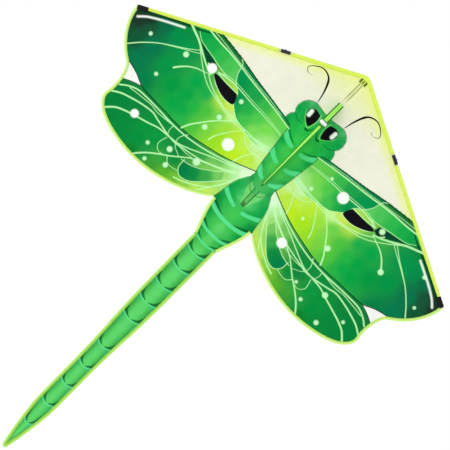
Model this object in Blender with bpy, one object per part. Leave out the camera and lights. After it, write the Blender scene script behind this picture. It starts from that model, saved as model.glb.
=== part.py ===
# A delta kite with the shape of a dragonfly, standing nose up with its printed face towards -Y.
# A long printed tail hangs from the centre strip, and a cloth keel carries the tow loop.
# +Z runs from tail to nose and +X to the viewer's right. The origin is the centre of the tow loop's eye.
import math

import bmesh
import bpy
from mathutils import Matrix, Vector
from mathutils.geometry import interpolate_bezier

# Overall sizes. "down" is the distance below the nose along the kite's axis.
HALF_SPAN = 0.600
LENGTH = 1.447
TIP_DOWN = 0.307
NOSE_CORNER = (0.012, 0.003)
TOW_DOWN = 0.195
KEEL_DEPTH = 0.118
GAP = 0.0003

# Cloth
PANEL_HALF = 0.0005
BINDING_HALF = 0.0009
BINDING_WIDTH = 0.008
TAIL_BINDING_WIDTH = 0.009
PATCH_LIFT = 0.0008
HEM_DEPTH = 0.012
NOSE_PATCH = (0.0135, 0.014, 0.029)
KEEL_TAPE = (0.005, 0.096, 0.428)
END_PATCH = (0.0055, 0.455, 0.503)

# The two lines along which the wings fold, on both sides of the centre strip
FOLD_X_TOP = 0.016
FOLD_X_BOTTOM = 0.041
FOLD_DOWN = 0.648
FOLD_GAP = 0.0008
WING_FOLD_CLEAR = 0.005

# Frame of 4 mm rods with vinyl caps
ROD_RADIUS = 0.002
ROD_BORE = 0.0023
CAP_RADIUS = 0.0031
CAP_LENGTH = 0.014
CAP_WALL = 0.003
ROUND = 14

# Leading-edge sleeve: a teardrop around the spar, in millimetres from the edge towards the sail
SLEEVE_RADIUS = 0.0042
SLEEVE_BORE = 0.0035
SLEEVE_WIDTH = 0.014
FLANGE_HALF = 0.0006
SPAR_START = 0.030
TIP_POCKET_LENGTH = 0.033
TIP_POCKET_WIDTH = 0.0165
TIP_POCKET_HALF = 0.0047
CONNECTOR_AT = 0.243
CONNECTOR_LENGTH = 0.028
CONNECTOR_RADIUS = 0.005
SLEEVE_CUTOUT_HALF = 0.018
SPAR_END_CLEAR = 0.010

# Spine in its tunnel behind the sail, and the spreader behind the spine
SPINE_TOP = 0.014
SPINE_BOTTOM = 0.501
SPINE_BACK = 0.0054
TUNNEL_TOP = 0.0345
TUNNEL_BOTTOM = 0.4695
TUNNEL_HALF = 0.007
TUNNEL_RADIUS = 0.0033
POCKET_RADIUS = 0.0042
POCKET_BORE = 0.0034
SPREADER_BACK = 0.0113
SEAT_HALF = 0.0037
SEAT_WALL = 0.0018
SEAT_FRONT = 0.002
SEAT_OPEN = 0.0135
SEAT_INWARD = 0.011
SEAT_OUTWARD = 0.006
SLOT_OUTWARD = 0.0035
NOCK_RADIUS = 0.0033

# Keel
KEEL_TOP = 0.098
KEEL_END = 0.424
KEEL_HALF = 0.0006
KEEL_SEAM_Y = -0.0014
KEEL_ROOT = 0.0016
FRONT_BAND_HALF = 0.009
REAR_BAND_WIDE = 0.006
REAR_BAND_NARROW = 0.002
BAND_THICK = 0.0012
LOOP_HALF_X = 0.0102
LOOP_HALF_Y = 0.006
LOOP_HALF_Z = 0.0042
LOOP_THICK = 0.0015
LOOP_LEG = 0.028
LOOP_NECK = 0.0095
KEEL_TIP_Y = 0.010
KEEL_TIP_HALF = 0.003
BAND_END_Y = 0.018

# Tail
TAIL_SEAM = 0.983
TAIL_GAP = 0.0012

SIDES = {"left": -1, "right": 1}


def clear_scene():
    for old in list(bpy.data.objects):
        bpy.data.objects.remove(old, do_unlink=True)


def at(x, down, y=0.0):
    """A point at x across, a distance down from the nose, and y behind the sail's middle plane."""
    return Vector((x, KEEL_DEPTH + y, TOW_DOWN - down))


def material(name, colour, roughness, metallic=0.0):
    made = bpy.data.materials.new(name)
    made.use_nodes = True
    shader = made.node_tree.nodes["Principled BSDF"]
    shader.inputs["Base Color"].default_value = (*colour, 1.0)
    shader.inputs["Roughness"].default_value = roughness
    shader.inputs["Metallic"].default_value = metallic
    return made


def fold_x(down):
    """Half the centre strip's width, at a distance down from the nose."""
    return FOLD_X_TOP + (FOLD_X_BOTTOM - FOLD_X_TOP) * down / FOLD_DOWN


def body_pivot(name, place, parent=None):
    """An empty on a body's joint axis, which the body's pieces hang from."""
    pivot = bpy.data.objects.new(name, None)
    pivot.empty_display_size = 0.03
    pivot.parent = parent
    pivot.location = place - world_place(parent)
    bpy.context.collection.objects.link(pivot)
    return pivot


def world_place(pivot):
    return pivot.location + world_place(pivot.parent) if pivot else Vector((0, 0, 0))


def add_part(name, bm, pivot, look, smooth=False):
    """Makes an object of a mesh modelled in world coordinates, with its origin at its pivot."""
    bmesh.ops.recalc_face_normals(bm, faces=bm.faces)
    mesh = bpy.data.meshes.new(name)
    bm.to_mesh(mesh)
    bm.free()
    mesh.transform(Matrix.Translation(-world_place(pivot)))
    mesh.materials.append(look)
    if smooth:
        mesh.shade_smooth()
        mesh.set_sharp_from_angle(angle=math.radians(40))
    part = bpy.data.objects.new(name, mesh)
    part.parent = pivot
    bpy.context.collection.objects.link(part)
    return part


def plate(outline, low, high):
    """A flat plate: outline(s) as world points on a plane, pushed out by low and high along its normal."""
    bm = bmesh.new()
    face = bm.faces.new([bm.verts.new(Vector(p) + low) for p in outline])
    pushed = bmesh.ops.extrude_face_region(bm, geom=[face])
    moved = [v for v in pushed["geom"] if isinstance(v, bmesh.types.BMVert)]
    bmesh.ops.translate(bm, verts=moved, vec=high - low)
    return bm


def sheet(outline, front, back):
    """A cloth plate in the sail's plane, from (x, down) points, between two depths behind it."""
    points = [at(x, down) for x, down in outline]
    return plate(points, Vector((0, front, 0)), Vector((0, back, 0)))


def frame_along(start, end, side_hint):
    """Two unit vectors across a line from start to end, the first one nearest to side_hint."""
    line = (end - start).normalized()
    across = (side_hint - line * side_hint.dot(line)).normalized()
    return line, across, line.cross(across)


def rings_to_solid(bm, outer, inner):
    """Closes a row of outer rings and a row of inner rings (a bore, or none) into one solid."""
    for rings in (outer, inner):
        for a, b in zip(rings, rings[1:]):
            for i in range(len(a)):
                j = (i + 1) % len(a)
                bm.faces.new((a[i], a[j], b[j], b[i]))


def ring(bm, points):
    return [bm.verts.new(p) for p in points]


def annulus(bm, a, b):
    for i in range(len(a)):
        j = (i + 1) % len(a)
        bm.faces.new((a[i], a[j], b[j], b[i]))


def tube_of(outer_points, inner_points, depth_points=None):
    """A prism with a bore. Each argument is (near ring, far ring) of points; with depth_points,
    the bore is blind and its floor is that ring."""
    bm = bmesh.new()
    outer = [ring(bm, points) for points in outer_points]
    inner = [ring(bm, inner_points[0]), ring(bm, depth_points or inner_points[1])]
    rings_to_solid(bm, outer, inner)
    annulus(bm, outer[0], inner[0])
    if depth_points:
        bm.faces.new(outer[1])
        bm.faces.new(inner[1])
    else:
        annulus(bm, outer[1], inner[1])
    return bm


def circle(centre, across, up, radius, angles):
    return [centre + (across * math.cos(a) + up * math.sin(a)) * radius for a in angles]


def full_turn(count):
    return [2 * math.pi * i / count for i in range(count)]


def rod(start, end, radius, count=ROUND):
    line, across, up = frame_along(start, end, Vector((0, 1, 0.01)))
    bm = bmesh.new()
    near = ring(bm, circle(start, across, up, radius, full_turn(count)))
    far = ring(bm, circle(end, across, up, radius, full_turn(count)))
    rings_to_solid(bm, [near, far], [])
    bm.faces.new(near)
    bm.faces.new(far)
    return bm


def cap(closed_end, towards, radius):
    """A vinyl cap on a rod's end: a short cup whose mouth faces along towards."""
    mouth = closed_end + towards * CAP_LENGTH
    line, across, up = frame_along(mouth, closed_end, Vector((0, 1, 0.01)))
    turn = full_turn(ROUND)
    outer = [circle(p, across, up, radius, turn) for p in (mouth, closed_end)]
    inner = circle(mouth, across, up, ROD_BORE, turn)
    floor = circle(closed_end + towards * CAP_WALL, across, up, ROD_BORE, turn)
    return tube_of(outer, [inner], floor)


def curve(*points, steps=6):
    """Points along a run of Bezier pieces: end, handle, handle, end, handle, handle, end..."""
    line = []
    for i in range(0, len(points) - 1, 3):
        a, b, c, d = (Vector((*p, 0)) for p in points[i : i + 4])
        piece = interpolate_bezier(a, b, c, d, steps + 1)
        line += piece[1:] if line else piece
    return [(p.x, p.y) for p in line]


def inset(line, distance):
    """The line moved sideways, towards the left of its direction as (x, down) points."""
    moved = []
    for i, (x, down) in enumerate(line):
        a, b = line[max(i - 1, 0)], line[min(i + 1, len(line) - 1)]
        run = Vector((b[0] - a[0], b[1] - a[1])).normalized()
        moved.append((x - run.y * distance, down + run.x * distance))
    return moved


# The leading edge is a straight line from the nose corner to the wing tip. "along" is the distance
# from where it would meet the axis, and "inward" is the distance from it towards the sail.
EDGE_SLOPE = (TIP_DOWN - NOSE_CORNER[1]) / (HALF_SPAN - NOSE_CORNER[0])
EDGE_ANGLE = math.atan(EDGE_SLOPE)
EDGE_START = NOSE_CORNER[1] - EDGE_SLOPE * NOSE_CORNER[0]
EDGE_LENGTH = HALF_SPAN / math.cos(EDGE_ANGLE)


def on_edge(along, inward=0.0):
    """(x, down) of a point beside the right wing's leading edge."""
    c, s = math.cos(EDGE_ANGLE), math.sin(EDGE_ANGLE)
    return along * c - inward * s, EDGE_START + along * s + inward * c


def edge_point(side, along, inward, y=0.0):
    x, down = on_edge(along, inward)
    return at(side * x, down, y)


def along_at_fold(inward, clear):
    """How far along the edge the fold line, moved outward by clear, crosses that inward distance."""
    c, s = math.cos(EDGE_ANGLE), math.sin(EDGE_ANGLE)
    k = (FOLD_X_BOTTOM - FOLD_X_TOP) / FOLD_DOWN
    reach = FOLD_X_TOP + clear + k * EDGE_START
    return (reach + inward * (s + k * c)) / (c - k * s)


# The wing's free edge, from the tip round the fore wing and the hind wing to the waist
FORE_WING = curve((0.600, 0.307), (0.598, 0.362), (0.560, 0.415), (0.511, 0.444), steps=8)
HIND_WING = curve(
    (0.511, 0.444),
    (0.493, 0.466),
    (0.488, 0.512),
    (0.494, 0.540),
    (0.497, 0.560),
    (0.478, 0.582),
    (0.452, 0.594),
    (0.420, 0.610),
    (0.365, 0.621),
    (0.314, 0.621),
    (0.230, 0.621),
    (0.135, 0.590),
    (0.073, 0.5395),
    steps=7,
)
WAIST = curve((0.073, 0.5395), (0.070, 0.580), (0.053, 0.612), (0.0445, 0.640), steps=4)
TAIL_SIDE = curve(
    (0.0407, 0.648),
    (0.0407, 0.760),
    (0.0407, 0.890),
    (0.0360, 0.983),
    (0.0275, 1.120),
    (0.0325, 1.200),
    (0.0300, 1.290),
    (0.0262, 1.335),
    (0.0180, 1.400),
    (0.0065, 1.447),
    steps=6,
)

ALL_LOOKS = {
    "print_green": ((0.06, 0.42, 0.12), 0.7),
    "lime_cloth": ((0.45, 0.80, 0.12), 0.7),
    "neon_cloth": ((0.66, 0.86, 0.08), 0.7),
    "keel_lime": ((0.35, 0.85, 0.18), 0.7),
    "black_cloth": ((0.02, 0.02, 0.02), 0.8),
    "white_webbing": ((0.85, 0.86, 0.84), 0.8),
    "fibreglass": ((0.05, 0.05, 0.05), 0.35),
    "vinyl": ((0.02, 0.02, 0.022), 0.5),
}


def make_nose_and_strip(pivot, looks):
    """The centre strip of the sail with the folded hem and patch at the nose."""
    side_x = fold_x(0.01) - FOLD_GAP
    edge_down = EDGE_START + EDGE_SLOPE * side_x
    top = [(side_x, edge_down), NOSE_CORNER, (0.0, 0.0)]
    upper = top + [(-x, down) for x, down in reversed(top[:-1])]
    hem_end = edge_down + HEM_DEPTH
    lower = [(-side_x, hem_end), (0.0, HEM_DEPTH), (side_x, hem_end)]
    nose = sheet(upper + lower, -BINDING_HALF, BINDING_HALF)
    add_part("nose_hem", nose, pivot, looks["neon_cloth"])

    strip_end = FOLD_DOWN - TAIL_GAP
    start = hem_end + GAP
    half_top, half_end = fold_x(start) - FOLD_GAP, fold_x(strip_end) - FOLD_GAP
    outline = [(half_top, start), (half_end, strip_end), (-half_end, strip_end)]
    outline += [(-half_top, start), (0.0, HEM_DEPTH + GAP)]
    strip = sheet(outline, -PANEL_HALF, PANEL_HALF)
    add_part("body_panel", strip, pivot, looks["print_green"])

    def patch(name, half, top_down, end_down, front, thick, look):
        box = [(half, top_down), (half, end_down), (-half, end_down), (-half, top_down)]
        add_part(name, sheet(box, front - thick, front), pivot, looks[look])

    patch("nose_patch", *NOSE_PATCH, -BINDING_HALF - 0.0004, 0.0009, "black_cloth")
    patch("keel_seam_tape", *KEEL_TAPE, -PATCH_LIFT, 0.0006, "lime_cloth")
    patch("spine_end_patch", *END_PATCH, -PATCH_LIFT, 0.0008, "lime_cloth")


def tunnel_rings(half, dome, bore, base, top, end, floor=None):
    """A D-shaped cloth tunnel behind the sail, from top down to end, closed at end if floor is given."""
    arc = [math.radians(-20 + 27.5 * i) for i in range(9)]
    flange = base + 0.0008
    under = (SPINE_BACK - base) * math.tan(math.radians(30))
    section = [(0, base), (under, base), (half, base), (half, flange)]
    section += [(dome * math.cos(a), SPINE_BACK + dome * math.sin(a)) for a in arc]
    section += [(-half, flange), (-half, base), (-under, base)]
    angles = [math.atan2(y - SPINE_BACK, x) for x, y in section]
    hole = [(bore * math.cos(a), SPINE_BACK + bore * math.sin(a)) for a in angles]
    outer = [[at(x, down, y) for x, y in section] for down in (top, end)]
    inner = [[at(x, down, y) for x, y in hole] for down in (top, end)]
    depth = [at(x, floor, y) for x, y in hole] if floor else None
    return tube_of(outer, inner, depth)


def make_spine(pivot, looks):
    rod_top, rod_end = SPINE_TOP + CAP_WALL + GAP, SPINE_BOTTOM - CAP_WALL - GAP
    spar = rod(at(0, rod_top, SPINE_BACK), at(0, rod_end, SPINE_BACK), ROD_RADIUS)
    add_part("spine_spar", spar, pivot, looks["fibreglass"], smooth=True)
    for name, end, towards in (("top", SPINE_TOP, -1), ("bottom", SPINE_BOTTOM, 1)):
        shape = cap(at(0, end, SPINE_BACK), Vector((0, 0, towards)), CAP_RADIUS)
        add_part(f"spine_{name}_cap", shape, pivot, looks["vinyl"], smooth=True)
    base = PANEL_HALF + GAP
    tunnel = tunnel_rings(
        TUNNEL_HALF, TUNNEL_RADIUS, ROD_BORE, base, TUNNEL_TOP, TUNNEL_BOTTOM
    )
    add_part("spine_sleeve", tunnel, pivot, looks["lime_cloth"], smooth=True)
    wide = TUNNEL_HALF + 0.002
    nose_base = BINDING_HALF + GAP
    nose = tunnel_rings(
        wide, POCKET_RADIUS, POCKET_BORE, nose_base, TUNNEL_TOP - GAP, 0.010, 0.0125
    )
    add_part("nose_pocket", nose, pivot, looks["black_cloth"], smooth=True)
    end = tunnel_rings(
        wide, POCKET_RADIUS, POCKET_BORE, base, TUNNEL_BOTTOM + GAP, 0.505, 0.503
    )
    add_part("spine_end_pocket", end, pivot, looks["black_cloth"], smooth=True)


def sleeve(side, near, far):
    """A teardrop sleeve along the leading edge between two functions of the inward distance."""
    centre = SLEEVE_RADIUS
    front = [math.radians(90 + 22.5 * i) for i in range(9)]
    section = [
        (centre + SLEEVE_RADIUS * math.cos(a), SLEEVE_RADIUS * math.sin(a)) for a in front
    ]
    slope = (SLEEVE_RADIUS - FLANGE_HALF) / (SLEEVE_WIDTH - centre)
    part_way = 0.003
    rear_y = SLEEVE_RADIUS - slope * part_way
    section += [(centre + part_way, -rear_y), (SLEEVE_WIDTH, -FLANGE_HALF)]
    section += [(SLEEVE_WIDTH, FLANGE_HALF), (centre + part_way, rear_y)]
    angles = [math.atan2(y, q - centre) for q, y in section]
    hole = [(centre + SLEEVE_BORE * math.cos(a), SLEEVE_BORE * math.sin(a)) for a in angles]
    outer = [[edge_point(side, f(q), q, y) for q, y in section] for f in (near, far)]
    inner = [[edge_point(side, f(q), q, y) for q, y in hole] for f in (near, far)]
    return tube_of(outer, inner)


def tip_pocket(side, near, far):
    """A folded webbing cup that holds the spar's outer end."""
    centre, half = SLEEVE_RADIUS, TIP_POCKET_HALF
    front = [math.radians(90 + 30 * i) for i in range(7)]
    section = [(centre + half * math.cos(a), half * math.sin(a)) for a in front]
    section += [(0.0075, -half), (0.011, -half), (TIP_POCKET_WIDTH, -0.0022)]
    section += [(TIP_POCKET_WIDTH, 0.0022), (0.011, half), (0.0075, half)]
    angles = [math.atan2(y, q - centre) for q, y in section]
    hole = [(centre + SLEEVE_BORE * math.cos(a), SLEEVE_BORE * math.sin(a)) for a in angles]
    outer = [[edge_point(side, along, q, y) for q, y in section] for along in (near, far)]
    inner = [[edge_point(side, near, q, y) for q, y in hole]]
    floor = [edge_point(side, far - 0.003, q, y) for q, y in hole]
    return tube_of(outer, inner, floor)


def boolean(part, tool, operation):
    cut = part.modifiers.new(operation.lower(), "BOOLEAN")
    cut.operation = operation
    cut.object = tool
    tool.hide_render = True
    tool.display_type = "WIRE"


def box_mesh(low, high):
    bm = bmesh.new()
    size = [b - a for a, b in zip(low, high)]
    middle = Matrix.Translation([(a + b) / 2 for a, b in zip(low, high)])
    bmesh.ops.create_cube(bm, size=1.0, matrix=middle @ Matrix.Diagonal((*size, 1.0)))
    return bm


def make_connector(name, side, pivot, look):
    """A moulded vinyl tube on the spar, with a seat behind it that the spreader's end snaps into."""
    half = CONNECTOR_LENGTH / 2
    ends = [
        edge_point(side, CONNECTOR_AT + step, SLEEVE_RADIUS) for step in (-half, half)
    ]
    part = add_part(name, rod(*ends, CONNECTOR_RADIUS, 20), pivot, look, smooth=True)
    x, down = on_edge(CONNECTOR_AT, SLEEVE_RADIUS)
    inner_x, wall_x, outer_x = x - SEAT_INWARD, x + SLOT_OUTWARD, x + SEAT_OUTWARD
    z = at(0, down).z
    tall = SEAT_HALF + SEAT_WALL
    back = KEEL_DEPTH
    spans = {
        "seat": (inner_x, outer_x, back + SEAT_FRONT, back + SEAT_OPEN, tall),
        "slot": (inner_x - 0.01, wall_x, back + SPREADER_BACK - SEAT_HALF, back + 0.03, SEAT_HALF),
    }
    tools = {}
    for key, (x0, x1, y0, y1, z_half) in spans.items():
        low_x, high_x = sorted((side * x0, side * x1))
        shape = box_mesh((low_x, y0, z - z_half), (high_x, y1, z + z_half))
        tools[key] = add_part(f"{name}_{key}_tool", shape, pivot, look)
    bore_ends = [
        edge_point(side, CONNECTOR_AT + step * 1.4, SLEEVE_RADIUS) for step in (-half, half)
    ]
    tools["bore"] = add_part(f"{name}_bore_tool", rod(*bore_ends, ROD_BORE), pivot, look)
    boolean(part, tools["seat"], "UNION")
    boolean(part, tools["slot"], "DIFFERENCE")
    boolean(part, tools["bore"], "DIFFERENCE")


def make_wing(word, side, pivot, looks):
    pocket_start = EDGE_LENGTH - TIP_POCKET_LENGTH
    cut_near, cut_far = CONNECTOR_AT - SLEEVE_CUTOUT_HALF, CONNECTOR_AT + SLEEVE_CUTOUT_HALF

    def at_fold(inward):
        return along_at_fold(inward, WING_FOLD_CLEAR)

    inner = sleeve(side, at_fold, lambda q: cut_near)
    outer = sleeve(side, lambda q: cut_far, lambda q: pocket_start - GAP)
    add_part(f"{word}_leading_sleeve_inner", inner, pivot, looks["neon_cloth"], smooth=True)
    add_part(f"{word}_leading_sleeve_outer", outer, pivot, looks["neon_cloth"], smooth=True)
    pocket = tip_pocket(side, pocket_start, EDGE_LENGTH)
    add_part(f"{word}_tip_pocket", pocket, pivot, looks["black_cloth"], smooth=True)

    spar_end = EDGE_LENGTH - SPAR_END_CLEAR
    ends = [edge_point(side, along, SLEEVE_RADIUS) for along in (SPAR_START, spar_end)]
    line = (ends[1] - ends[0]).normalized()
    wall = line * (CAP_WALL + GAP)
    add_part(
        f"{word}_leading_spar",
        rod(ends[0] + wall, ends[1] - wall, ROD_RADIUS),
        pivot,
        looks["fibreglass"],
        smooth=True,
    )
    for place, end, towards in (("nose", ends[0], line), ("tip", ends[1], -line)):
        shape = cap(end, towards, CAP_RADIUS)
        add_part(f"{word}_spar_{place}_cap", shape, pivot, looks["vinyl"], smooth=True)
    make_connector(f"{word}_connector", side, pivot, looks["vinyl"])

    # The sail follows the fold line, the sleeve, the tip pocket and the insides of the bindings.
    beside = SLEEVE_WIDTH + GAP
    low_pocket = TIP_POCKET_WIDTH + GAP
    free_edge = FORE_WING[2:] + HIND_WING[1:]
    outline = [on_edge(along_at_fold(beside, FOLD_GAP), beside)]
    outline += [on_edge(pocket_start - GAP, beside), on_edge(pocket_start - GAP, low_pocket)]
    outline += inset(free_edge, BINDING_WIDTH + GAP)
    waist = inset(WAIST, BINDING_WIDTH + GAP)
    waist = [(x, down) for x, down in waist if x > fold_x(down) + 2 * FOLD_GAP]
    outline += waist
    outline.append((fold_x(waist[-1][1]) + FOLD_GAP, waist[-1][1]))
    sail = sheet([(side * x, down) for x, down in outline], -PANEL_HALF, PANEL_HALF)
    add_part(f"{word}_sail", sail, pivot, looks["print_green"])

    for name, line in (("trailing_binding", free_edge), ("waist_binding", WAIST)):
        facing = [(max(x, fold_x(down) + 1.5 * FOLD_GAP), down) for x, down in inset(line, BINDING_WIDTH)]
        band = line + facing[::-1]
        tape = sheet([(side * x, down) for x, down in band], -BINDING_HALF, BINDING_HALF)
        add_part(f"{word}_{name}", tape, pivot, looks["lime_cloth"])


def make_spreader(pivot, looks):
    x, down = on_edge(CONNECTOR_AT, SLEEVE_RADIUS)
    ends = [at(side * x, down, SPREADER_BACK) for side in (-1, 1)]
    add_part("spreader_rod", rod(*ends, ROD_RADIUS), pivot, looks["fibreglass"], smooth=True)
    for word, side in SIDES.items():
        closed = at(side * (x + CAP_WALL + GAP / 2), down, SPREADER_BACK)
        shape = cap(closed, Vector((-side, 0, 0)), NOCK_RADIUS)
        add_part(f"spreader_{word}_cap", shape, pivot, looks["vinyl"], smooth=True)


def keel_plate(points, low, high):
    """A plate in the keel's plane, from (depth in front of the sail, down) points."""
    flat = [at(0, down, -depth) for depth, down in points]
    return plate(flat, Vector((low, 0, 0)), Vector((high, 0, 0)))


def edge_band(start, end, half_start, half_end):
    """A tape across a keel edge, between two (depth, down) points, with its half widths there."""
    a, b = at(0, start[1], -start[0]), at(0, end[1], -end[0])
    line = (b - a).normalized()
    out = Vector((1, 0, 0)).cross(line)
    if out.dot(a - at(0, TOW_DOWN, -KEEL_DEPTH / 3)) < 0:
        out = -out
    across = Vector((1, 0, 0))
    corners = [a + across * half_start, b + across * half_end]
    corners += [b - across * half_end, a - across * half_start]
    return plate(corners, out * GAP, out * (GAP + BAND_THICK))


def make_keel(pivot, looks):
    root = KEEL_ROOT - KEEL_SEAM_Y
    tip = KEEL_DEPTH - KEEL_TIP_Y
    front = ((root, KEEL_TOP), (tip, TOW_DOWN - KEEL_TIP_HALF))
    rear = ((root, KEEL_END), (tip, TOW_DOWN + KEEL_TIP_HALF))
    panel = keel_plate([front[0], front[1], rear[1], rear[0]], -KEEL_HALF, KEEL_HALF)
    add_part("keel_panel", panel, pivot, looks["keel_lime"])

    def between(line, depth):
        (d0, s0), (d1, s1) = line
        return depth, s0 + (s1 - s0) * (depth - d0) / (d1 - d0)

    band_end = KEEL_DEPTH - BAND_END_Y
    band = edge_band(
        between(front, root + 0.0125), between(front, band_end), FRONT_BAND_HALF, FRONT_BAND_HALF
    )
    add_part("keel_front_binding", band, pivot, looks["keel_lime"])
    band = edge_band(
        between(rear, root + 0.003), between(rear, band_end), REAR_BAND_NARROW, REAR_BAND_WIDE
    )
    add_part("keel_rear_binding", band, pivot, looks["keel_lime"])

    # The loop's webbing lies against both sides of the keel and opens into an oval eye.
    leg_x = KEEL_HALF + GAP + LOOP_THICK / 2
    turn = [math.radians(72 - 324 / 16 * i) for i in range(17)]
    path = [Vector((leg_x, LOOP_LEG, 0)), Vector((leg_x, LOOP_NECK, 0))]
    path += [Vector((LOOP_HALF_X * math.cos(a), LOOP_HALF_Y * math.sin(a), 0)) for a in turn]
    path += [Vector((-leg_x, LOOP_NECK, 0)), Vector((-leg_x, LOOP_LEG, 0))]
    sides = ([], [])
    for i, p in enumerate(path):
        run = (path[min(i + 1, len(path) - 1)] - path[max(i - 1, 0)]).normalized()
        off = Vector((-run.y, run.x, 0)) * LOOP_THICK / 2
        sides[0].append(p + off)
        sides[1].append(p - off)
    outline = sides[0] + sides[1][::-1]
    loop = plate(outline, Vector((0, 0, -LOOP_HALF_Z)), Vector((0, 0, LOOP_HALF_Z)))
    add_part("tow_loop", loop, pivot, looks["white_webbing"])


def stretch_of(line, top, end):
    """The part of an outline between two distances down, with its ends cut level."""

    def cut(level):
        for (x0, d0), (x1, d1) in zip(line, line[1:]):
            if d0 <= level <= d1:
                return x0 + (x1 - x0) * (level - d0) / (d1 - d0), level
        return line[-1]

    return [cut(top)] + [p for p in line if top + 0.002 < p[1] < end - 0.002] + [cut(end)]


def make_tail(pivots, looks):
    spans = {
        "tail_upper": (FOLD_DOWN + TAIL_GAP, TAIL_SEAM - TAIL_GAP),
        "tail_lower": (TAIL_SEAM + TAIL_GAP, LENGTH),
    }
    for name, (top, end) in spans.items():
        side_line = stretch_of(TAIL_SIDE, top, end)
        inner = [(x - TAIL_BINDING_WIDTH - GAP, down) for x, down in side_line]
        inner = [(x, down) for x, down in inner if x > GAP]
        panel = inner + [(-x, down) for x, down in reversed(inner)]
        shape = sheet(panel, -PANEL_HALF, PANEL_HALF)
        add_part(f"{name}_panel", shape, pivots[name], looks["print_green"])
        facing = [(max(x - TAIL_BINDING_WIDTH, GAP / 2), down) for x, down in side_line]
        for word, side in SIDES.items():
            band = [(side * x, down) for x, down in side_line + facing[::-1]]
            tape = sheet(band, -BINDING_HALF, BINDING_HALF)
            add_part(f"{name}_{word}_binding", tape, pivots[name], looks["lime_cloth"])
    half = TAIL_SIDE[0][0] - TAIL_BINDING_WIDTH - 0.006
    end = TAIL_SEAM - TAIL_GAP - GAP
    box = [(half, end - 0.008), (half, end), (-half, end), (-half, end - 0.008)]
    tape = sheet(box, PANEL_HALF + GAP, PANEL_HALF + GAP + 0.0006)
    add_part("tail_seam_tape", tape, pivots["tail_upper"], looks["lime_cloth"])


def build():
    clear_scene()
    looks = {name: material(name, *look) for name, look in ALL_LOOKS.items()}
    root = body_pivot("kite_axis", Vector((0, 0, 0)))
    make_nose_and_strip(root, looks)
    make_spine(root, looks)
    for word, side in SIDES.items():
        fold = body_pivot(f"{word}_wing_axis", at(side * fold_x(0), 0), root)
        make_wing(word, side, fold, looks)
    _, spreader_down = on_edge(CONNECTOR_AT, SLEEVE_RADIUS)
    make_spreader(body_pivot("spreader_axis", at(0, spreader_down, SPREADER_BACK), root), looks)
    make_keel(body_pivot("keel_axis", at(0, TOW_DOWN, KEEL_SEAM_Y), root), looks)
    tail = body_pivot("tail_root_axis", at(0, FOLD_DOWN), root)
    pivots = {
        "tail_upper": tail,
        "tail_lower": body_pivot("tail_seam_axis", at(0, TAIL_SEAM), tail),
    }
    make_tail(pivots, looks)


build()
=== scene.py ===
import math

import bmesh
import bpy
import numpy as np
from mathutils import Matrix, Vector
from mathutils.geometry import interpolate_bezier


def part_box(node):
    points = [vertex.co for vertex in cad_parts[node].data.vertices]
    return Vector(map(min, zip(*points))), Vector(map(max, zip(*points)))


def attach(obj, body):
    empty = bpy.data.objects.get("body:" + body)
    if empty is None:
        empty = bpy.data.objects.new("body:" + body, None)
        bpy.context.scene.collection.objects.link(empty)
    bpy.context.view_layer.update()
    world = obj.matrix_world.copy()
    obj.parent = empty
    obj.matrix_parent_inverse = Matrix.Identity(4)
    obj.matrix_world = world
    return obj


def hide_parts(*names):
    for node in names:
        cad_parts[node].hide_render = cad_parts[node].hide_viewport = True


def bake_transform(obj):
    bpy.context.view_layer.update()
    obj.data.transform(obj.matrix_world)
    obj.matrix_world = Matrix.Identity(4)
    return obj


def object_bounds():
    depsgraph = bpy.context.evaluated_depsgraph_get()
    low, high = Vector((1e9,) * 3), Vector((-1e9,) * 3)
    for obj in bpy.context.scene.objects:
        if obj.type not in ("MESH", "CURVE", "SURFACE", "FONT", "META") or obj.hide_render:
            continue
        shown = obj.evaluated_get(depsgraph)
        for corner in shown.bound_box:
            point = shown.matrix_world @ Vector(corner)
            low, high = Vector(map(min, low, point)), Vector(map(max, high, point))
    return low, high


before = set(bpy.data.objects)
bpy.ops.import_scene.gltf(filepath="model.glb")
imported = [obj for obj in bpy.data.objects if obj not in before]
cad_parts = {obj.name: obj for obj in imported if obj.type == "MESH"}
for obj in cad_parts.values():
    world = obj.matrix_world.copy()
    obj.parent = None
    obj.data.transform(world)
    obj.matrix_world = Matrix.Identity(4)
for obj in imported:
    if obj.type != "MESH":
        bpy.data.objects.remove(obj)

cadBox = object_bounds()
noseZ = cadBox[1][2]
sailLow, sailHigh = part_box("body_panel")
sailY = (sailLow[1] + sailHigh[1]) / 2
mm = 0.001

# The kite hangs nose up. Places on it are given as millimetres across from its centre line,
# millimetres down from the nose, and millimetres behind the sail.


def place(across, down, behind=0.0):
    return Vector((across * mm, sailY + behind * mm, noseZ - down * mm))


camera = {
    "lens": 85.0,
    "distance": 2.96,
    "aimAcross": 5.0,
    "aimDown": 574.0,
    "roll": math.radians(44.7),
    "clipEnd": 50,
}


def addCamera():
    data = bpy.data.cameras.new("studioCamera")
    data.lens = camera["lens"]
    data.clip_end = camera["clipEnd"]
    holder = bpy.data.objects.new("studioCamera", data)
    bpy.context.collection.objects.link(holder)
    right = Vector((math.cos(camera["roll"]), 0, math.sin(camera["roll"])))
    up = Vector((-math.sin(camera["roll"]), 0, math.cos(camera["roll"])))
    turn = Matrix((right, up, right.cross(up))).transposed().to_4x4()
    aim = place(camera["aimAcross"], camera["aimDown"])
    holder.matrix_world = Matrix.Translation(aim - Vector((0, camera["distance"], 0))) @ turn
    bpy.context.scene.camera = holder


addCamera()
print("camera set")


def linear(code):
    # an sRGB hex colour as linear light
    parts = [int(code[i : i + 2], 16) / 255 for i in (0, 2, 4)]
    return [c / 12.92 if c <= 0.04045 else ((c + 0.055) / 1.055) ** 2.4 for c in parts]


def rgba(code):
    return (*linear(code), 1.0)


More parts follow.
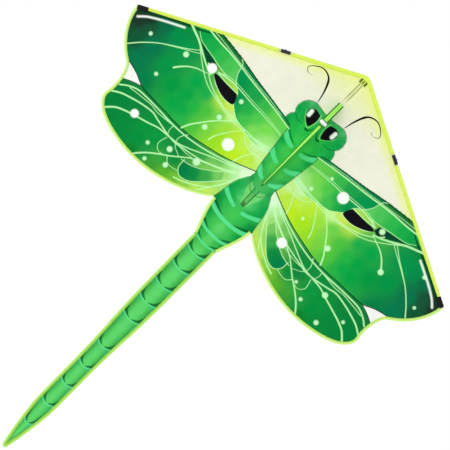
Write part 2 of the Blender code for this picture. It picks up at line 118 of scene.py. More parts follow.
def smooth(low, high, value):
    t = np.clip((value - low) / (high - low), 0, 1)
    return t * t * (3 - 2 * t)


# The sail's outline, the same as the frame's, in millimetres
sail = {
    "halfSpan": 600.0,
    "edgeSlope": 0.517,
    "edgeStart": -3.2,
    "foldTop": 16.0,
    "foldGrow": 25.0 / 648.0,
    "foldEnd": 648.0,
    "length": 1447.0,
    "tailSeam": 983.0,
    "grid": 1.75,
    "stripGrid": 1.0,
    "tailGrid": 1.1,
}
edgeAngle = math.atan(sail["edgeSlope"])
edgeCos, edgeSin = math.cos(edgeAngle), math.sin(edgeAngle)


def onEdge(along, inward=0.0):
    # across and down of a point beside the leading edge of the right wing
    return along * edgeCos - inward * edgeSin, sail["edgeStart"] + along * edgeSin + inward * edgeCos


def inwardOf(across, down):
    return (down - sail["edgeStart"]) * edgeCos - across * edgeSin


def foldAcross(down):
    return sail["foldTop"] + sail["foldGrow"] * down


def bezierLine(*points, steps=8):
    line = []
    for i in range(0, len(points) - 1, 3):
        a, b, c, d = (Vector((*p, 0)) for p in points[i : i + 4])
        piece = interpolate_bezier(a, b, c, d, steps + 1)
        line += piece[1:] if line else piece
    return [(p.x, p.y) for p in line]


foreEdge = bezierLine((600, 307), (598, 362), (560, 415), (511, 444), steps=24)
hindEdge = bezierLine(
    (511, 444), (493, 466), (488, 512), (494, 540),
    (497, 560), (478, 582), (452, 594),
    (420, 610), (365, 621), (314, 621),
    (230, 621), (135, 590), (73, 539.5),
    steps=20,
)
waistEdge = bezierLine((73, 539.5), (70, 580), (53, 612), (44.5, 640), steps=12)
tailEdge = bezierLine(
    (40.7, 648), (40.7, 760), (40.7, 890), (36, 983),
    (27.5, 1120), (32.5, 1200), (30, 1290),
    (26.2, 1335), (18, 1400), (6.5, 1447),
    steps=24,
)
freeEdge = foreEdge + hindEdge[1:]


def inset(line, distance):
    # a line moved sideways, to the left of its run
    moved = []
    for i, (x, y) in enumerate(line):
        a, b = line[max(i - 1, 0)], line[min(i + 1, len(line) - 1)]
        run = Vector((b[0] - a[0], b[1] - a[1])).normalized()
        moved.append((x - run.y * distance, y + run.x * distance))
    return moved


def rounded(points, steps=7):
    # a smooth line through given points
    pts = np.array(points, float)
    if len(pts) < 3:
        return pts
    ends = np.vstack([2 * pts[0] - pts[1], pts, 2 * pts[-1] - pts[-2]])
    t = np.linspace(0, 1, steps, endpoint=False)[:, None]
    rows = []
    for p0, p1, p2, p3 in zip(ends, ends[1:], ends[2:], ends[3:]):
        rows.append(
            0.5 * (2 * p1 + (p2 - p0) * t + (2 * p0 - 5 * p1 + 4 * p2 - p3) * t**2
                   + (3 * p1 - p0 - 3 * p2 + p3) * t**3)
        )
    return np.vstack(rows + [pts[-1:]])


def isInside(x, y, outline):
    inside = np.zeros(len(x), bool)
    for (x0, y0), (x1, y1) in zip(outline, np.roll(outline, -1, axis=0)):
        if y0 == y1:
            continue
        crosses = (y0 > y) != (y1 > y)
        inside ^= crosses & (x < (x1 - x0) * (y - y0) / (y1 - y0) + x0)
    return inside


def lineDistance(x, y, line, halfWidths):
    # distance to a line less the line's own half width there
    best = np.full(len(x), 9.0)
    for (a, b, wa, wb) in zip(line, line[1:], halfWidths, halfWidths[1:]):
        reach = max(wa, wb) + 9.0
        near = (
            (x > min(a[0], b[0]) - reach) & (x < max(a[0], b[0]) + reach)
            & (y > min(a[1], b[1]) - reach) & (y < max(a[1], b[1]) + reach)
        )
        if not near.any():
            continue
        px, py = x[near] - a[0], y[near] - a[1]
        dx, dy = b[0] - a[0], b[1] - a[1]
        t = np.clip((px * dx + py * dy) / max(dx * dx + dy * dy, 1e-9), 0, 1)
        d = np.hypot(px - t * dx, py - t * dy) - (wa + (wb - wa) * t)
        best[near] = np.minimum(best[near], d)
    return best


# The print is a dragonfly seen from above, given for the right half and mirrored on the left.
# Every stroke is (width at its start, width at its end, points across and down).
veins = [
    (2.6, 5.6, [(388, 277), (418, 300), (454, 323), (487, 346), (521, 377), (549, 409)]),
    (2.6, 2.8, [(380, 282), (405, 297), (432, 312), (461, 329), (490, 347)]),
    (8.0, 5.5, [(462, 238), (437, 248), (411, 258), (387, 271), (366, 283), (342, 295), (318, 303)]),
    (2.2, 3.4, [(424, 240), (402, 254), (376, 260), (345, 265), (309, 272), (281, 274)]),
    (3.0, 4.0, [(405, 260), (380, 281), (362, 295), (339, 311), (309, 328), (277, 338), (244, 344),
                (208, 351), (174, 353), (138, 352), (100, 348), (62, 342)]),
    (3.4, 4.4, [(326, 305), (306, 318), (282, 329), (249, 339), (218, 344), (179, 345), (143, 346),
                (101, 344), (60, 336)]),
    (6.5, 3.0, [(407, 362), (396, 348), (380, 332), (360, 319), (341, 312), (322, 304)]),
    (4.5, 3.0, [(308, 284), (278, 278), (249, 275), (214, 277), (180, 280), (146, 281), (98, 284), (60, 289)]),
    (2.4, 2.4, [(300, 280), (278, 272), (249, 269), (214, 271), (180, 274), (146, 275), (98, 279), (62, 285)]),
    (5.4, 5.0, [(412, 216), (366, 221), (322, 223), (275, 228), (234, 234), (154, 243), (110, 249), (58, 258)]),
    (2.4, 2.6, [(402, 209), (358, 213), (312, 219), (270, 224), (216, 231), (150, 237), (100, 246)]),
    (2.6, 3.0, [(286, 212), (274, 221), (265, 251), (248, 273), (228, 288), (217, 316), (184, 340),
                (157, 346), (121, 355), (95, 358), (70, 356)]),
    (6.0, 3.4, [(273, 466), (262, 442), (241, 413), (219, 386), (189, 357), (176, 347)]),
    (4.4, 2.6, [(196, 436), (189, 414), (168, 380), (148, 354)]),
    (3.6, 2.4, [(104, 431), (95, 404), (83, 383), (76, 362)]),
    (2.6, 3.4, [(132, 358), (118, 370), (98, 378), (79, 378), (47, 373)]),
    (3.0, 3.4, [(313, 295), (293, 311), (267, 321), (241, 326), (216, 324)]),
    (3.0, 3.4, [(308, 286), (265, 289), (228, 289)]),
    # hind wing
    (5.4, 5.4, [(481, 502), (461, 487), (433, 476), (395, 474), (349, 475), (295, 477), (252, 475),
                (215, 470), (177, 462), (149, 454), (107, 441), (72, 428), (42, 414)]),
    (2.8, 3.6, [(454, 488), (424, 484), (400, 482), (378, 480), (352, 483), (324, 481), (293, 478)]),
    (6.0, 4.0, [(486, 531), (462, 516), (436, 507), (402, 498), (362, 492), (337, 497), (313, 502),
                (285, 507), (254, 509), (229, 504), (202, 499), (167, 491), (128, 475), (91, 457), (48, 426)]),
    (6.4, 4.0, [(468, 578), (446, 556), (424, 545), (404, 538), (377, 530), (349, 522), (319, 512),
                (290, 509), (251, 505), (220, 494), (184, 478), (143, 460), (100, 444), (60, 425)]),
    (6.0, 3.2, [(322, 618), (311, 603), (293, 584), (268, 564), (239, 544), (212, 522), (193, 508),
                (161, 491), (126, 477), (90, 459), (55, 430)]),
    (2.8, 2.8, [(283, 514), (288, 530), (289, 543), (281, 554), (271, 558), (261, 556)]),
    (2.8, 2.8, [(292, 478), (293, 492), (288, 506)]),
    (2.8, 2.8, [(246, 467), (256, 484), (258, 498), (253, 511), (244, 519), (230, 525), (220, 531)]),
    (2.8, 2.8, [(246, 550), (235, 562), (225, 565), (210, 563), (194, 558)]),
    (2.8, 3.6, [(204, 524), (203, 545), (195, 559), (182, 566), (164, 563), (148, 554), (122, 530),
                (99, 504), (73, 475), (50, 440)]),
    (5.0, 3.0, [(192, 580), (164, 570), (132, 553), (104, 532), (84, 506), (66, 474)]),
    (4.2, 3.0, [(140, 588), (131, 574), (109, 544), (90, 513), (72, 480), (54, 446)]),
    (2.6, 3.0, [(212, 529), (184, 524), (157, 512), (127, 492), (100, 470), (70, 446)]),
    (2.6, 2.6, [(249, 507), (218, 508), (187, 505), (160, 500)]),
    (5.0, 2.6, [(345, 285), (341, 291), (335, 292)]),
]
tipStroke = (5.6, 5.2, [(577, 332), (556, 313), (521, 292), (488, 275), (462, 262)])
darkLines = [
    (3.6, 3.0, [(398, 199), (362, 203), (310, 209), (254, 216), (216, 223), (146, 233), (90, 242), (62, 249)]),
    (3.4, 3.0, [(512, 436), (503, 437), (469, 446), (431, 462), (387, 465), (335, 466), (301, 468),
                (249, 466), (195, 456), (149, 446), (112, 435), (73, 421), (38, 407)]),
    (3.2, 3.0, [(496, 490), (487, 484), (460, 471), (431, 462)]),
    (4.2, 3.2, [(586, 356), (560, 392), (530, 424), (508, 437)]),
    (14.0, 3.0, [(578, 312), (545, 291), (503, 270), (462, 252), (430, 238), (398, 221)]),
]
bodyLines = [
    (2.0, 2.0, [(60, 252), (59, 275), (55, 305), (51, 336), (47, 368), (42, 396), (38, 412), (40, 428)]),
    (1.8, 1.8, [(40, 426), (58, 456), (66, 486), (70, 514), (73, 540)]),
    (2.2, 1.8, [(18, 158), (35, 154), (54, 152), (70, 159), (82, 172), (86, 190), (83, 204), (77, 212)]),
    (2.0, 1.8, [(77, 212), (85, 222), (88, 235), (85, 246), (71, 250), (58, 253)]),
    (2.6, 1.6, [(77, 212), (62, 221), (50, 223), (40, 221)]),
    (1.8, 1.4, [(0, 459), (14, 455), (27, 443), (34, 426)]),
    (2.2, 1.6, [(7, 440), (7, 470), (6.4, 500)]),
]
headlight = [(10, 444), (24, 436), (29, 440), (26, 456), (17, 480), (8, 500)]
blackShapes = [
    [(315, 294), (303, 290), (268, 291), (232, 291), (225, 294), (216, 318), (233, 324), (257, 323),
     (284, 314), (306, 302)],
    [(20, 171), (34, 167), (46, 168), (54, 175), (54, 188), (47, 201), (36, 211), (25, 216), (20, 206),
     (17, 188)],
]
darkSliver = [(404, 256), (376, 262), (345, 267), (316, 275), (312, 292), (325, 297), (342, 290), (366, 278)]
feeler = ([2.2, 4.6, 6.6, 4.8, 3.6, 2.8, 2.2, 1.8, 1.5, 1.2],
          [(52, 148), (59, 118), (70, 90), (83, 76), (106, 71), (128, 82), (140, 97), (132, 107), (120, 108),
           (113, 104)])  # its widths along the way, then its points
eyeShine = (11.2, 11.2, [(46, 177.6), (45, 191.4)])
paleRings = [(1.7, 1.0, [(18, 168), (14.5, 186), (16.5, 206), (23, 219.5), (34, 215), (46, 205), (55, 194),
                         (58, 182)])]
# glowing dots are (across, down, radius), different on the two wings
glowLeft = [(518, 340, 6), (407, 312, 8.6), (429, 409, 6), (205, 297, 7), (218, 371, 8), (228, 419, 8),
            (328, 288, 15), (394, 530, 13), (311, 562, 6), (254, 532, 9), (232, 572, 8), (176, 505, 11),
            (147, 408, 19), (286, 600, 6)]
glowRight = [(543, 367, 5), (503, 287, 6.5), (407, 362, 9), (331, 279, 9), (187, 288, 18),
             (105, 333, 6), (127, 272, 5), (255, 419, 9), (153, 498, 16), (258, 547, 5), (342, 517, 9),
             (301, 573, 6), (378, 589, 7.5), (431, 535, 5.5), (147, 408, 5)]
bands = [
    (16, 11, [(66, 264), (52, 273), (40, 281), (28, 286), (17, 288)]),
    (16, 11, [(60, 325), (46, 334), (36, 341), (26, 346), (17, 348)]),
    (15, 10, [(52, 382), (39, 392), (30, 400), (22, 405), (15, 408)]),
    (13, 10, [(84, 486), (66, 497), (54, 504), (41, 510), (28, 515), (17, 518)]),
    (12, 10, [(82, 546), (61, 555), (46, 561), (26, 565), (0, 567)]),
    (7, 9, [(47, 611), (34, 616), (18, 619), (0, 620)]),
    (5, 5, [(40, 646), (26, 650), (12, 652), (0, 653)]),
]
tailRings = [691, 751, 819, 882, 948, 1055, 1130, 1203, 1277, 1354]
# one ring and the dark corners above it: (share of the half width, past it, down from the ring)
tailSegment = {
    "arc": [(1, 0, -7.5), (0.6, 0, -2.7), (0.25, 0, 0), (0, 0, 0.6)],
    "corner": [(1, 1.5, -28), (0.93, 0, -16), (0.7, 0, -8.5), (0.3, 0, -4)],
    "wedge": [(1, 3, -46), (0.9, 0, -28), (0.7, 0, -16), (0.42, 0, -8.5), (0.1, 0, -2.6), (0.6, 0, -4.4),
              (1, 3, -9)],
}
tailDye = {"middle": "5CD268", "side": "2A9C3A", "belowRing": "3DB878", "tip": "5A9A38"}
bandShades = [(9, 0.5, [(64, 543), (48, 549), (30, 556), (18, 560)]),
              (8, 0.5, [(50, 600), (38, 606), (26, 612), (14, 616)]),
              (7, 0.5, [(40, 636), (30, 641), (20, 646), (10, 650)]),
              (7, 0.5, [(52, 262), (40, 270), (26, 275), (14, 278)]),
              (8, 0.5, [(24, 226), (17, 226), (10, 216), (8, 208)])]

# Where the dye is which colour. A zone's colours flow into each other between its spots.
foreOutline = [(55, 252), (90, 242), (146, 234), (216, 224), (287, 211), (345, 204), (398, 199), (440, 180),
               (660, 290), (640, 400), (560, 436), (503, 437), (469, 446), (431, 462), (362, 467), (301, 469),
               (249, 467), (195, 457), (149, 446), (112, 435), (73, 421), (30, 405), (30, 300)]
hindOutline = [(30, 408), (73, 421), (112, 435), (149, 446), (195, 457), (249, 467), (301, 469), (362, 467),
               (400, 462), (431, 462), (460, 471), (489, 485), (520, 495), (540, 600), (300, 660), (60, 640),
               (20, 560), (20, 420)]
bodyOutline = [(0, 154), (18, 157), (35, 154), (54, 152), (70, 159), (82, 172), (86, 190), (83, 204),
               (77, 212), (85, 222), (88, 235), (85, 246), (71, 250), (60, 252), (59, 275), (55, 305),
               (51, 336), (47, 368), (42, 396), (38, 412), (40, 426), (58, 456), (66, 486), (70, 514),
               (76, 540), (90, 600), (90, 1500), (0, 1500)]
zones = [
    (foreOutline, [
        (575, 335, "1C3428"), (548, 378, "0F5433"), (540, 335, "175236"), (560, 310, "16241E"),
        (508, 292, "056A45"), (470, 290, "008A47"), (502, 360, "03744A"), (505, 420, "03764A"),
        (455, 450, "007C44"), (425, 300, "009248"), (430, 370, "009043"), (385, 400, "00943E"),
        (340, 345, "00A046"), (335, 390, "009E43"), (315, 430, "05A445"), (345, 430, "009F42"),
        (300, 350, "12A848"), (300, 400, "1FB141"),
        (300, 450, "26AE47"), (262, 385, "45BC3E"), (262, 440, "4CC03C"), (222, 420, "74D040"),
        (222, 370, "66CC46"), (185, 425, "96DB22"), (185, 375, "98DC38"), (150, 415, "A8E212"),
        (145, 375, "B4E62A"), (110, 415, "B9E61C"), (100, 385, "BEE83A"), (75, 395, "B8E640"),
        (60, 372, "C6EE90"), (90, 362, "C2F2A6"), (130, 366, "B6E850"), (225, 330, "C8E450"),
        (255, 331, "A8DC48"), (196, 349, "C2F08E"), (430, 225, "06803C"), (462, 250, "068A40")]),
    ([(61, 257), (154, 243), (234, 234), (275, 222), (266, 251), (248, 273), (228, 288), (217, 316),
      (184, 340), (157, 347), (121, 355), (70, 356), (40, 350), (50, 280)], [
        (255, 240, "008E48"), (235, 268, "00924A"), (215, 300, "008F4A"), (205, 325, "12A046"),
        (185, 255, "189C48"), (175, 300, "22AC48"), (165, 330, "3EBC4A"), (150, 262, "36B54A"),
        (140, 300, "4CC64C"), (125, 335, "78D654"), (100, 265, "60C84C"), (100, 305, "76D84E"),
        (80, 330, "98E272"), (72, 348, "C4F4B4"), (66, 272, "66CC52")]),
    ([(412, 205), (366, 221), (322, 223), (275, 226), (266, 251), (248, 273), (281, 274), (309, 272),
      (345, 265), (376, 260), (402, 254), (428, 238), (450, 200)], [
        (410, 232, "0A9C44"), (370, 240, "16A846"), (335, 248, "2CB44A"), (295, 252, "46BE52"),
        (268, 262, "5CC65E")]),
    ([(62, 249), (90, 240), (146, 231), (216, 221), (287, 208), (345, 201), (400, 196), (412, 214),
      (366, 219), (322, 221), (275, 226), (234, 232), (154, 241), (61, 256)], [
        (390, 208, "1A7430"), (300, 215, "1E7A36"), (240, 227, "007C46"), (160, 238, "00864A"),
        (80, 248, "2A9C54")]),
    (hindOutline, [
        (478, 500, "0C7A36"), (450, 520, "028038"), (475, 560, "018038"), (440, 585, "058238"),
        (400, 560, "03863A"), (380, 600, "04863A"), (340, 575, "008E3C"), (330, 612, "0A7E28"),
        (300, 585, "1C9440"), (300, 540, "069440"), (340, 535, "03903A"), (262, 600, "3A9A30"),
        (262, 575, "35A23C"), (225, 595, "55AE2C"), (190, 592, "6CBC30"), (160, 585, "8CCC40"),
        (120, 568, "B0E458"), (90, 548, "BCE858"), (262, 490, "0C8A3E"), (225, 545, "068A3A"),
        (240, 520, "05803A"), (180, 475, "2C9C40"), (220, 485, "10883C"), (320, 492, "0A883C"),
        (400, 488, "0A7E38"), (140, 468, "72C458"), (120, 510, "7CCC54"), (100, 470, "96DA70"),
        (80, 446, "B4EEA0"), (58, 430, "E4FCDC"), (90, 500, "A4DE70"), (140, 450, "4EAC48")]),
    ([(203, 524), (203, 545), (195, 559), (182, 566), (164, 563), (148, 554), (122, 530), (99, 504),
      (90, 490), (100, 470), (127, 492), (157, 512), (184, 524)], [
        (188, 545, "007C45"), (160, 535, "07863F"), (132, 512, "34A448"), (105, 488, "74C65E")]),
    (darkSliver, [(360, 270, "04482C"), (325, 285, "062E20")]),
]
# Behind the print, the bare cloth: cream, more yellow at the nose and beside the sleeves. The tunnel entry is painted
# shade for the spine tunnel seen through the cloth.
cream = {"middle": "ECEBDA", "edge": "E6F08C", "nose": "E6EE9E", "trailing": "F1F1EC", "tunnel": "8F9A3C"}
bodySpots = [
    (20, 165, "3CB45E"), (50, 160, "2EA858"), (68, 175, "18A24A"), (76, 195, "0A9C46"), (60, 208, "12A84A"),
    (60, 160, "5CB878"), (30, 225, "2CBC50"), (14, 235, "30C052"), (70, 222, "14A44A"), (80, 240, "089846"),
    (60, 240, "1EB04C"), (45, 255, "24B84C"), (20, 262, "3CC858"), (40, 275, "22B84A"), (52, 290, "0E9A46"),
    (20, 310, "48C85A"), (38, 315, "30BC50"), (50, 325, "0E9844"), (18, 365, "50CA5A"), (34, 365, "38B850"),
    (44, 375, "129644"), (16, 420, "48BA5A"), (30, 420, "2AA852"), (10, 440, "46B45C"), (24, 440, "36A858"),
    (36, 425, "149448"), (20, 462, "5CD070"), (18, 490, "58CC6C"), (34, 460, "12A648"), (50, 470, "06A046"),
    (46, 495, "08A348"), (62, 490, "0A9444"), (26, 480, "30B858"), (30, 505, "0EA448"), (12, 530, "3CC052"),
    (0, 540, "44C452"), (36, 530, "30B84C"), (54, 535, "0C9240"), (64, 535, "048038"), (0, 590, "5CD466"),
    (26, 585, "40C054"), (44, 585, "20AC48"), (56, 580, "088C3C"), (0, 634, "58CE5C"), (26, 630, "38B850"),
    (40, 628, "12943C"),
]


def blendSpots(x, y, spots):
    total = np.zeros((len(x), 3))
    weights = np.zeros(len(x))
    for sx, sy, code in spots:
        w = 1.0 / ((x - sx) ** 2 + (y - sy) ** 2 + 90.0) ** 1.7
        total += w[:, None] * np.array(linear(code))
        weights += w
    return total / weights[:, None]


def blended(colours, code, share):
    share = np.asarray(share)[..., None]
    return colours * (1 - share) + np.array(linear(code)) * share


def halfWidth(y):
    rows = np.array(tailEdge)
    return np.interp(y, rows[:, 1], rows[:, 0])


def dyeColours(x, y):
    # the dye's colour at each point of the cloth
    ax = np.abs(x)
    colours = np.tile(linear(cream["middle"]), (len(x), 1))
    colours = blended(colours, cream["nose"], (1 - smooth(40, 150, y)) * 0.8)
    colours = blended(colours, cream["edge"], (1 - smooth(10, 44, inwardOf(ax, y))) * 0.8)
    colours[y > 400] = linear(cream["trailing"])
    for outline, spots in zones:
        inside = isInside(ax, y, outline)
        if inside.any():
            # the left fore wing turns green a little nearer the body than the right one
            lean = np.where(x < 0, 9.0, -9.0) * smooth(180, 270, ax) * (outline is foreOutline)
            colours[inside] = blendSpots((ax + lean)[inside], y[inside], spots)
    upper = isInside(ax, y, bodyOutline) & (y < 700)
    if upper.any():
        colours[upper] = blendSpots(ax[upper], y[upper], bodySpots)
    lower = y > 600
    if lower.any():
        down = y[lower]
        side = smooth(0.15, 1.05, np.clip(ax[lower] / (halfWidth(down) - 7), 0, 1.3))
        rings = [652.0] + tailRings + [sail["length"]]
        within = np.interp(down, rings, np.arange(len(rings))) % 1.0
        tone = blended(blended(np.array(linear(tailDye["middle"])), tailDye["side"], side), tailDye["belowRing"],
                       (1 - smooth(0.0, 0.35, within)) * 0.55 * (0.25 + 0.75 * side))
        fade = smooth(640, 690, down)[:, None]
        tone = colours[lower] * (1 - fade) + tone * fade
        colours[lower] = blended(tone, tailDye["tip"], smooth(1395, 1430, down) * 0.6)
    # painted shade: the spine tunnel behind the cloth darkens it at the nose, less along the pale rod down its middle
    tunnelShade = (1 - smooth(5.4, 7.6, ax)) * smooth(24, 32, y) * (1 - smooth(70, 112, y))
    return blended(colours, cream["tunnel"], tunnelShade * (0.62 - 0.5 * (1 - smooth(1.6, 2.8, ax))))


def strokes(x, y, rows):
    field = np.full(len(x), 9.0)
    for first, last, points in rows:
        line = rounded(points)
        field = np.minimum(field, lineDistance(x, y, line, np.linspace(first / 2, last / 2, len(line))))
    return field


def shapeField(x, y, outline):
    edge = rounded(outline + outline[:1], 4)
    distance = lineDistance(x, y, edge, np.zeros(len(edge)))
    return np.where(isInside(x, y, edge), -distance, distance)


def inkFields(x, y):
    # one field for each ink: millimetres to the edge of its strokes, less than 0 within them
    ax = np.abs(x)
    band = strokes(ax, y, bands)
    onBody = shapeField(ax, y, bodyOutline) + 1.5
    band = np.where((y < 640) & (ax > 12), np.maximum(band, onBody), band)
    shade = strokes(ax, y, bandShades + bodyLines)
    for ring in tailRings:
        half = float(halfWidth(ring)) - 8
        arc, corner, wedge = (
            [(half * share + out, ring + down) for share, out, down in tailSegment[part]]
            for part in ("arc", "corner", "wedge")
        )
        band = np.minimum(band, strokes(ax, y, [(4.6, 1.8, arc)]))
        shade = np.minimum(shade, strokes(ax, y, [(2.0, 1.0, corner)]))
        shade = np.minimum(shade, shapeField(ax, y, wedge))
    widths, points = feeler
    line = rounded(points)
    spread = np.interp(np.linspace(0, 1, len(line)), np.linspace(0, 1, len(widths)), widths) / 2
    black = lineDistance(ax, y, line, spread)
    for outline in blackShapes:
        black = np.minimum(black, shapeField(ax, y, outline))
    glow = strokes(ax, y, [tipStroke, eyeShine])
    dots = np.full(len(x), 9.0)
    for sign, marks in ((-1, glowLeft), (1, glowRight)):
        for across, down, radius in marks:
            spot = np.hypot(x - sign * across, y - down) - radius * 0.92
            if radius > 11:
                glow = np.minimum(glow, spot)
            else:
                dots = np.minimum(dots, spot)
    # the veins narrow towards the body
    fading = [(first * 0.88, last * 0.66, points) for first, last, points in veins]
    return {
        "inkPale": shapeField(ax, y, headlight),
        "inkShade": shade,
        "inkBand": band,
        "inkLine": strokes(ax, y, darkLines),
        "inkVein": strokes(ax, y, fading + paleRings),
        "inkDot": dots,
        "inkBlack": black,
        "inkGlow": glow,
    }


# The cloth's shape in the air, in millimetres
drape = {
    "belly": 10.0,  # how far the wings belly back between spine and spar
    "flutter": 1.6,  # waves along the free edges
    "tailWave": 2.6,
    "crease": 0.35,
}


def behindSail(x, y):
    # how far the cloth lies behind the flat plane, in millimetres
    ax = np.abs(np.asarray(x, float))
    y = np.asarray(y, float)
    inward = inwardOf(ax, y) - 14
    outward = ax - foldAcross(y)
    free = smooth(0, 150, inward) * smooth(0, 130, outward) * (1 - smooth(610, sail["foldEnd"], y))
    wave = np.sin((ax * 0.8 + y * 0.6) / 17.0) * smooth(60, 240, inward) * smooth(30, 160, outward)
    crease = np.sin(ax / 9.0 + np.sin(y / 37.0) * 2) * smooth(4, 60, inward) * smooth(2, 50, outward)
    wings = (drape["belly"] * free + drape["flutter"] * wave + drape["crease"] * crease) * (y < 650)
    top, seam = sail["foldEnd"], sail["tailSeam"]
    span = np.clip(np.where(y < seam, (y - top) / (seam - top), (y - seam) / (sail["length"] - seam)), 0, 1)
    hinge = np.where(y < seam, np.sin(np.pi * span), smooth(0, 0.2, span))
    return wings + drape["tailWave"] * hinge * np.sin(y / 31.0 + 0.6) * (y > top)


def printCloth(mesh, x, y):
    # lays the dye and every ink on a mesh, from its points' places on the kite
    colours = np.ones((len(x), 4))
    colours[:, :3] = dyeColours(x, y)
    dye = mesh.attributes.new("dye", "FLOAT_COLOR", "POINT")
    dye.data.foreach_set("color", colours.ravel().astype(np.float32))
    for ink, field in inkFields(x, y).items():
        layer = mesh.attributes.new(ink, "FLOAT", "POINT")
        layer.data.foreach_set("value", field.astype(np.float32))


def finished(name, mesh):
    mesh.update()
    for polygon in mesh.polygons:
        polygon.use_smooth = True
    holder = bpy.data.objects.new(name, mesh)
    bpy.context.collection.objects.link(holder)
    return holder


def meshOf(name, bm):
    mesh = bpy.data.meshes.new(name)
    bm.to_mesh(mesh)
    bm.free()
    return finished(name, mesh)


def clothSheet(name, outline, spacing):
    # a fine grid cut to the outline, with its rim drawn onto it
    outline = np.array(outline, float)
    low, high = outline.min(axis=0), outline.max(axis=0)
    cells = np.ceil((high - low) / spacing).astype(int)
    bm = bmesh.new()
    fit = Matrix.Translation((*(low + high) / 2, 0)) @ Matrix.Diagonal((*(high - low) / 2, 1, 1))
    bmesh.ops.create_grid(bm, x_segments=int(cells[0]), y_segments=int(cells[1]), size=1.0, matrix=fit)
    bm.faces.ensure_lookup_table()
    centres = np.array([f.calc_center_median()[:2] for f in bm.faces])
    outside = np.nonzero(~isInside(centres[:, 0], centres[:, 1], outline))[0]
    bmesh.ops.delete(bm, geom=[bm.faces[i] for i in outside], context="FACES")
    rim = [v for v in bm.verts if v.is_boundary]
    points = np.array([v.co[:2] for v in rim])
    best, nearest = np.full(len(points), 1e9), points.copy()
    for a, b in zip(outline, np.roll(outline, -1, axis=0)):
        run = b - a
        t = np.clip(((points - a) @ run) / max(run @ run, 1e-9), 0, 1)[:, None]
        spot = a + t * run
        d = np.hypot(*(points - spot).T)
        closer = d < best
        best[closer], nearest[closer] = d[closer], spot[closer]
    for v, spot in zip(rim, nearest):
        v.co.x, v.co.y = spot
    mesh = bpy.data.meshes.new(name)
    bm.to_mesh(mesh)
    bm.free()
    flat = np.empty(len(mesh.vertices) * 3)
    mesh.vertices.foreach_get("co", flat)
    flat = flat.reshape(-1, 3)
    x, y = flat[:, 0].copy(), flat[:, 1].copy()
    printCloth(mesh, x, y)
    flat[:, 0] = x * mm
    flat[:, 1] = sailY + behindSail(x, y) * mm
    flat[:, 2] = noseZ - y * mm
    mesh.vertices.foreach_set("co", flat.ravel())
    area = abs(np.sum(outline[:, 0] * np.roll(outline[:, 1], -1) - outline[:, 1] * np.roll(outline[:, 0], -1))) / 2
    return finished(name, mesh), float(area) * mm * mm


def addNode(tree, kind, inputs=None, **settings):
    # one node with its settings; each input is another node's socket or a plain value
    node = tree.nodes.new(kind)
    for key, value in settings.items():
        setattr(node, key, value)
    for key, value in (inputs or {}).items():
        if isinstance(value, bpy.types.NodeSocket):
            tree.links.new(value, node.inputs[key])
        else:
            node.inputs[key].default_value = value
    return node


def newMaterial(name, roughness, specular, sheen=0.0):
    made = bpy.data.materials.new(name)
    made.use_nodes = True
    shader = made.node_tree.nodes["Principled BSDF"]
    shader.inputs["Roughness"].default_value = roughness
    shader.inputs["Specular IOR Level"].default_value = specular
    shader.inputs["Sheen Weight"].default_value = sheen
    return made, made.node_tree, shader


def dress(piece, material, nodes=(), body=None):
    # gives a piece its finish, the solids it stands for and the body it moves with
    piece.data.materials.append(material)
    if nodes:
        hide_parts(*nodes)
    if body:
        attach(piece, body)
    return piece


# Printed polyester taffeta: a thin plain weave dyed right through, which gives a soft, dry, even face
printedTaffeta, tree, shader = newMaterial("printedTaffeta", 0.75, 0.03, sheen=0.006)
coords = addNode(tree, "ShaderNodeTexCoord").outputs["Object"]
dye = addNode(tree, "ShaderNodeAttribute", attribute_name="dye")
# the dye takes a little unevenly, in blotches of about 20 mm
blotch = addNode(tree, "ShaderNodeTexNoise", {"Vector": coords, "Scale": 45.0, "Detail": 3.0})
uneven = addNode(tree, "ShaderNodeMapRange", {"Value": blotch.outputs["Fac"], "From Min": 0.3, "From Max": 0.7,
                                              "To Min": 0.975, "To Max": 1.025})
layered = addNode(tree, "ShaderNodeMix", {0: 1.0, 6: dye.outputs["Color"], 7: uneven.outputs["Result"]},
                  data_type="RGBA", blend_type="MULTIPLY")
# each ink: how soft its edge is in millimetres, how well it covers and its colour
inkLayers = {
    "inkPale": (0.8, 0.45, "8EE07A"),
    "inkShade": (1.0, 0.85, "005C2C"),
    "inkBand": (2.4, 0.78, "5CE698"),
    "inkLine": (0.6, 0.95, "0A4224"),
    "inkVein": (0.6, 0.84, "BEFAB2"),
    "inkDot": (2.6, 0.92, "C8FFC6"),
    "inkBlack": (0.5, 1.0, "120F17"),
    "inkGlow": (3.0, 1.0, "F4FDF4"),
}
for ink, (soft, cover, code) in inkLayers.items():
    field = addNode(tree, "ShaderNodeAttribute", attribute_name=ink)
    ramp = addNode(tree, "ShaderNodeMapRange", {"Value": field.outputs["Fac"], "From Min": soft, "From Max": -soft,
                                                "To Max": cover}, interpolation_type="SMOOTHSTEP")
    layered = addNode(tree, "ShaderNodeMix", {0: ramp.outputs["Result"], 6: layered.outputs[2], 7: rgba(code)},
                      data_type="RGBA")
tree.links.new(layered.outputs[2], shader.inputs["Base Color"])
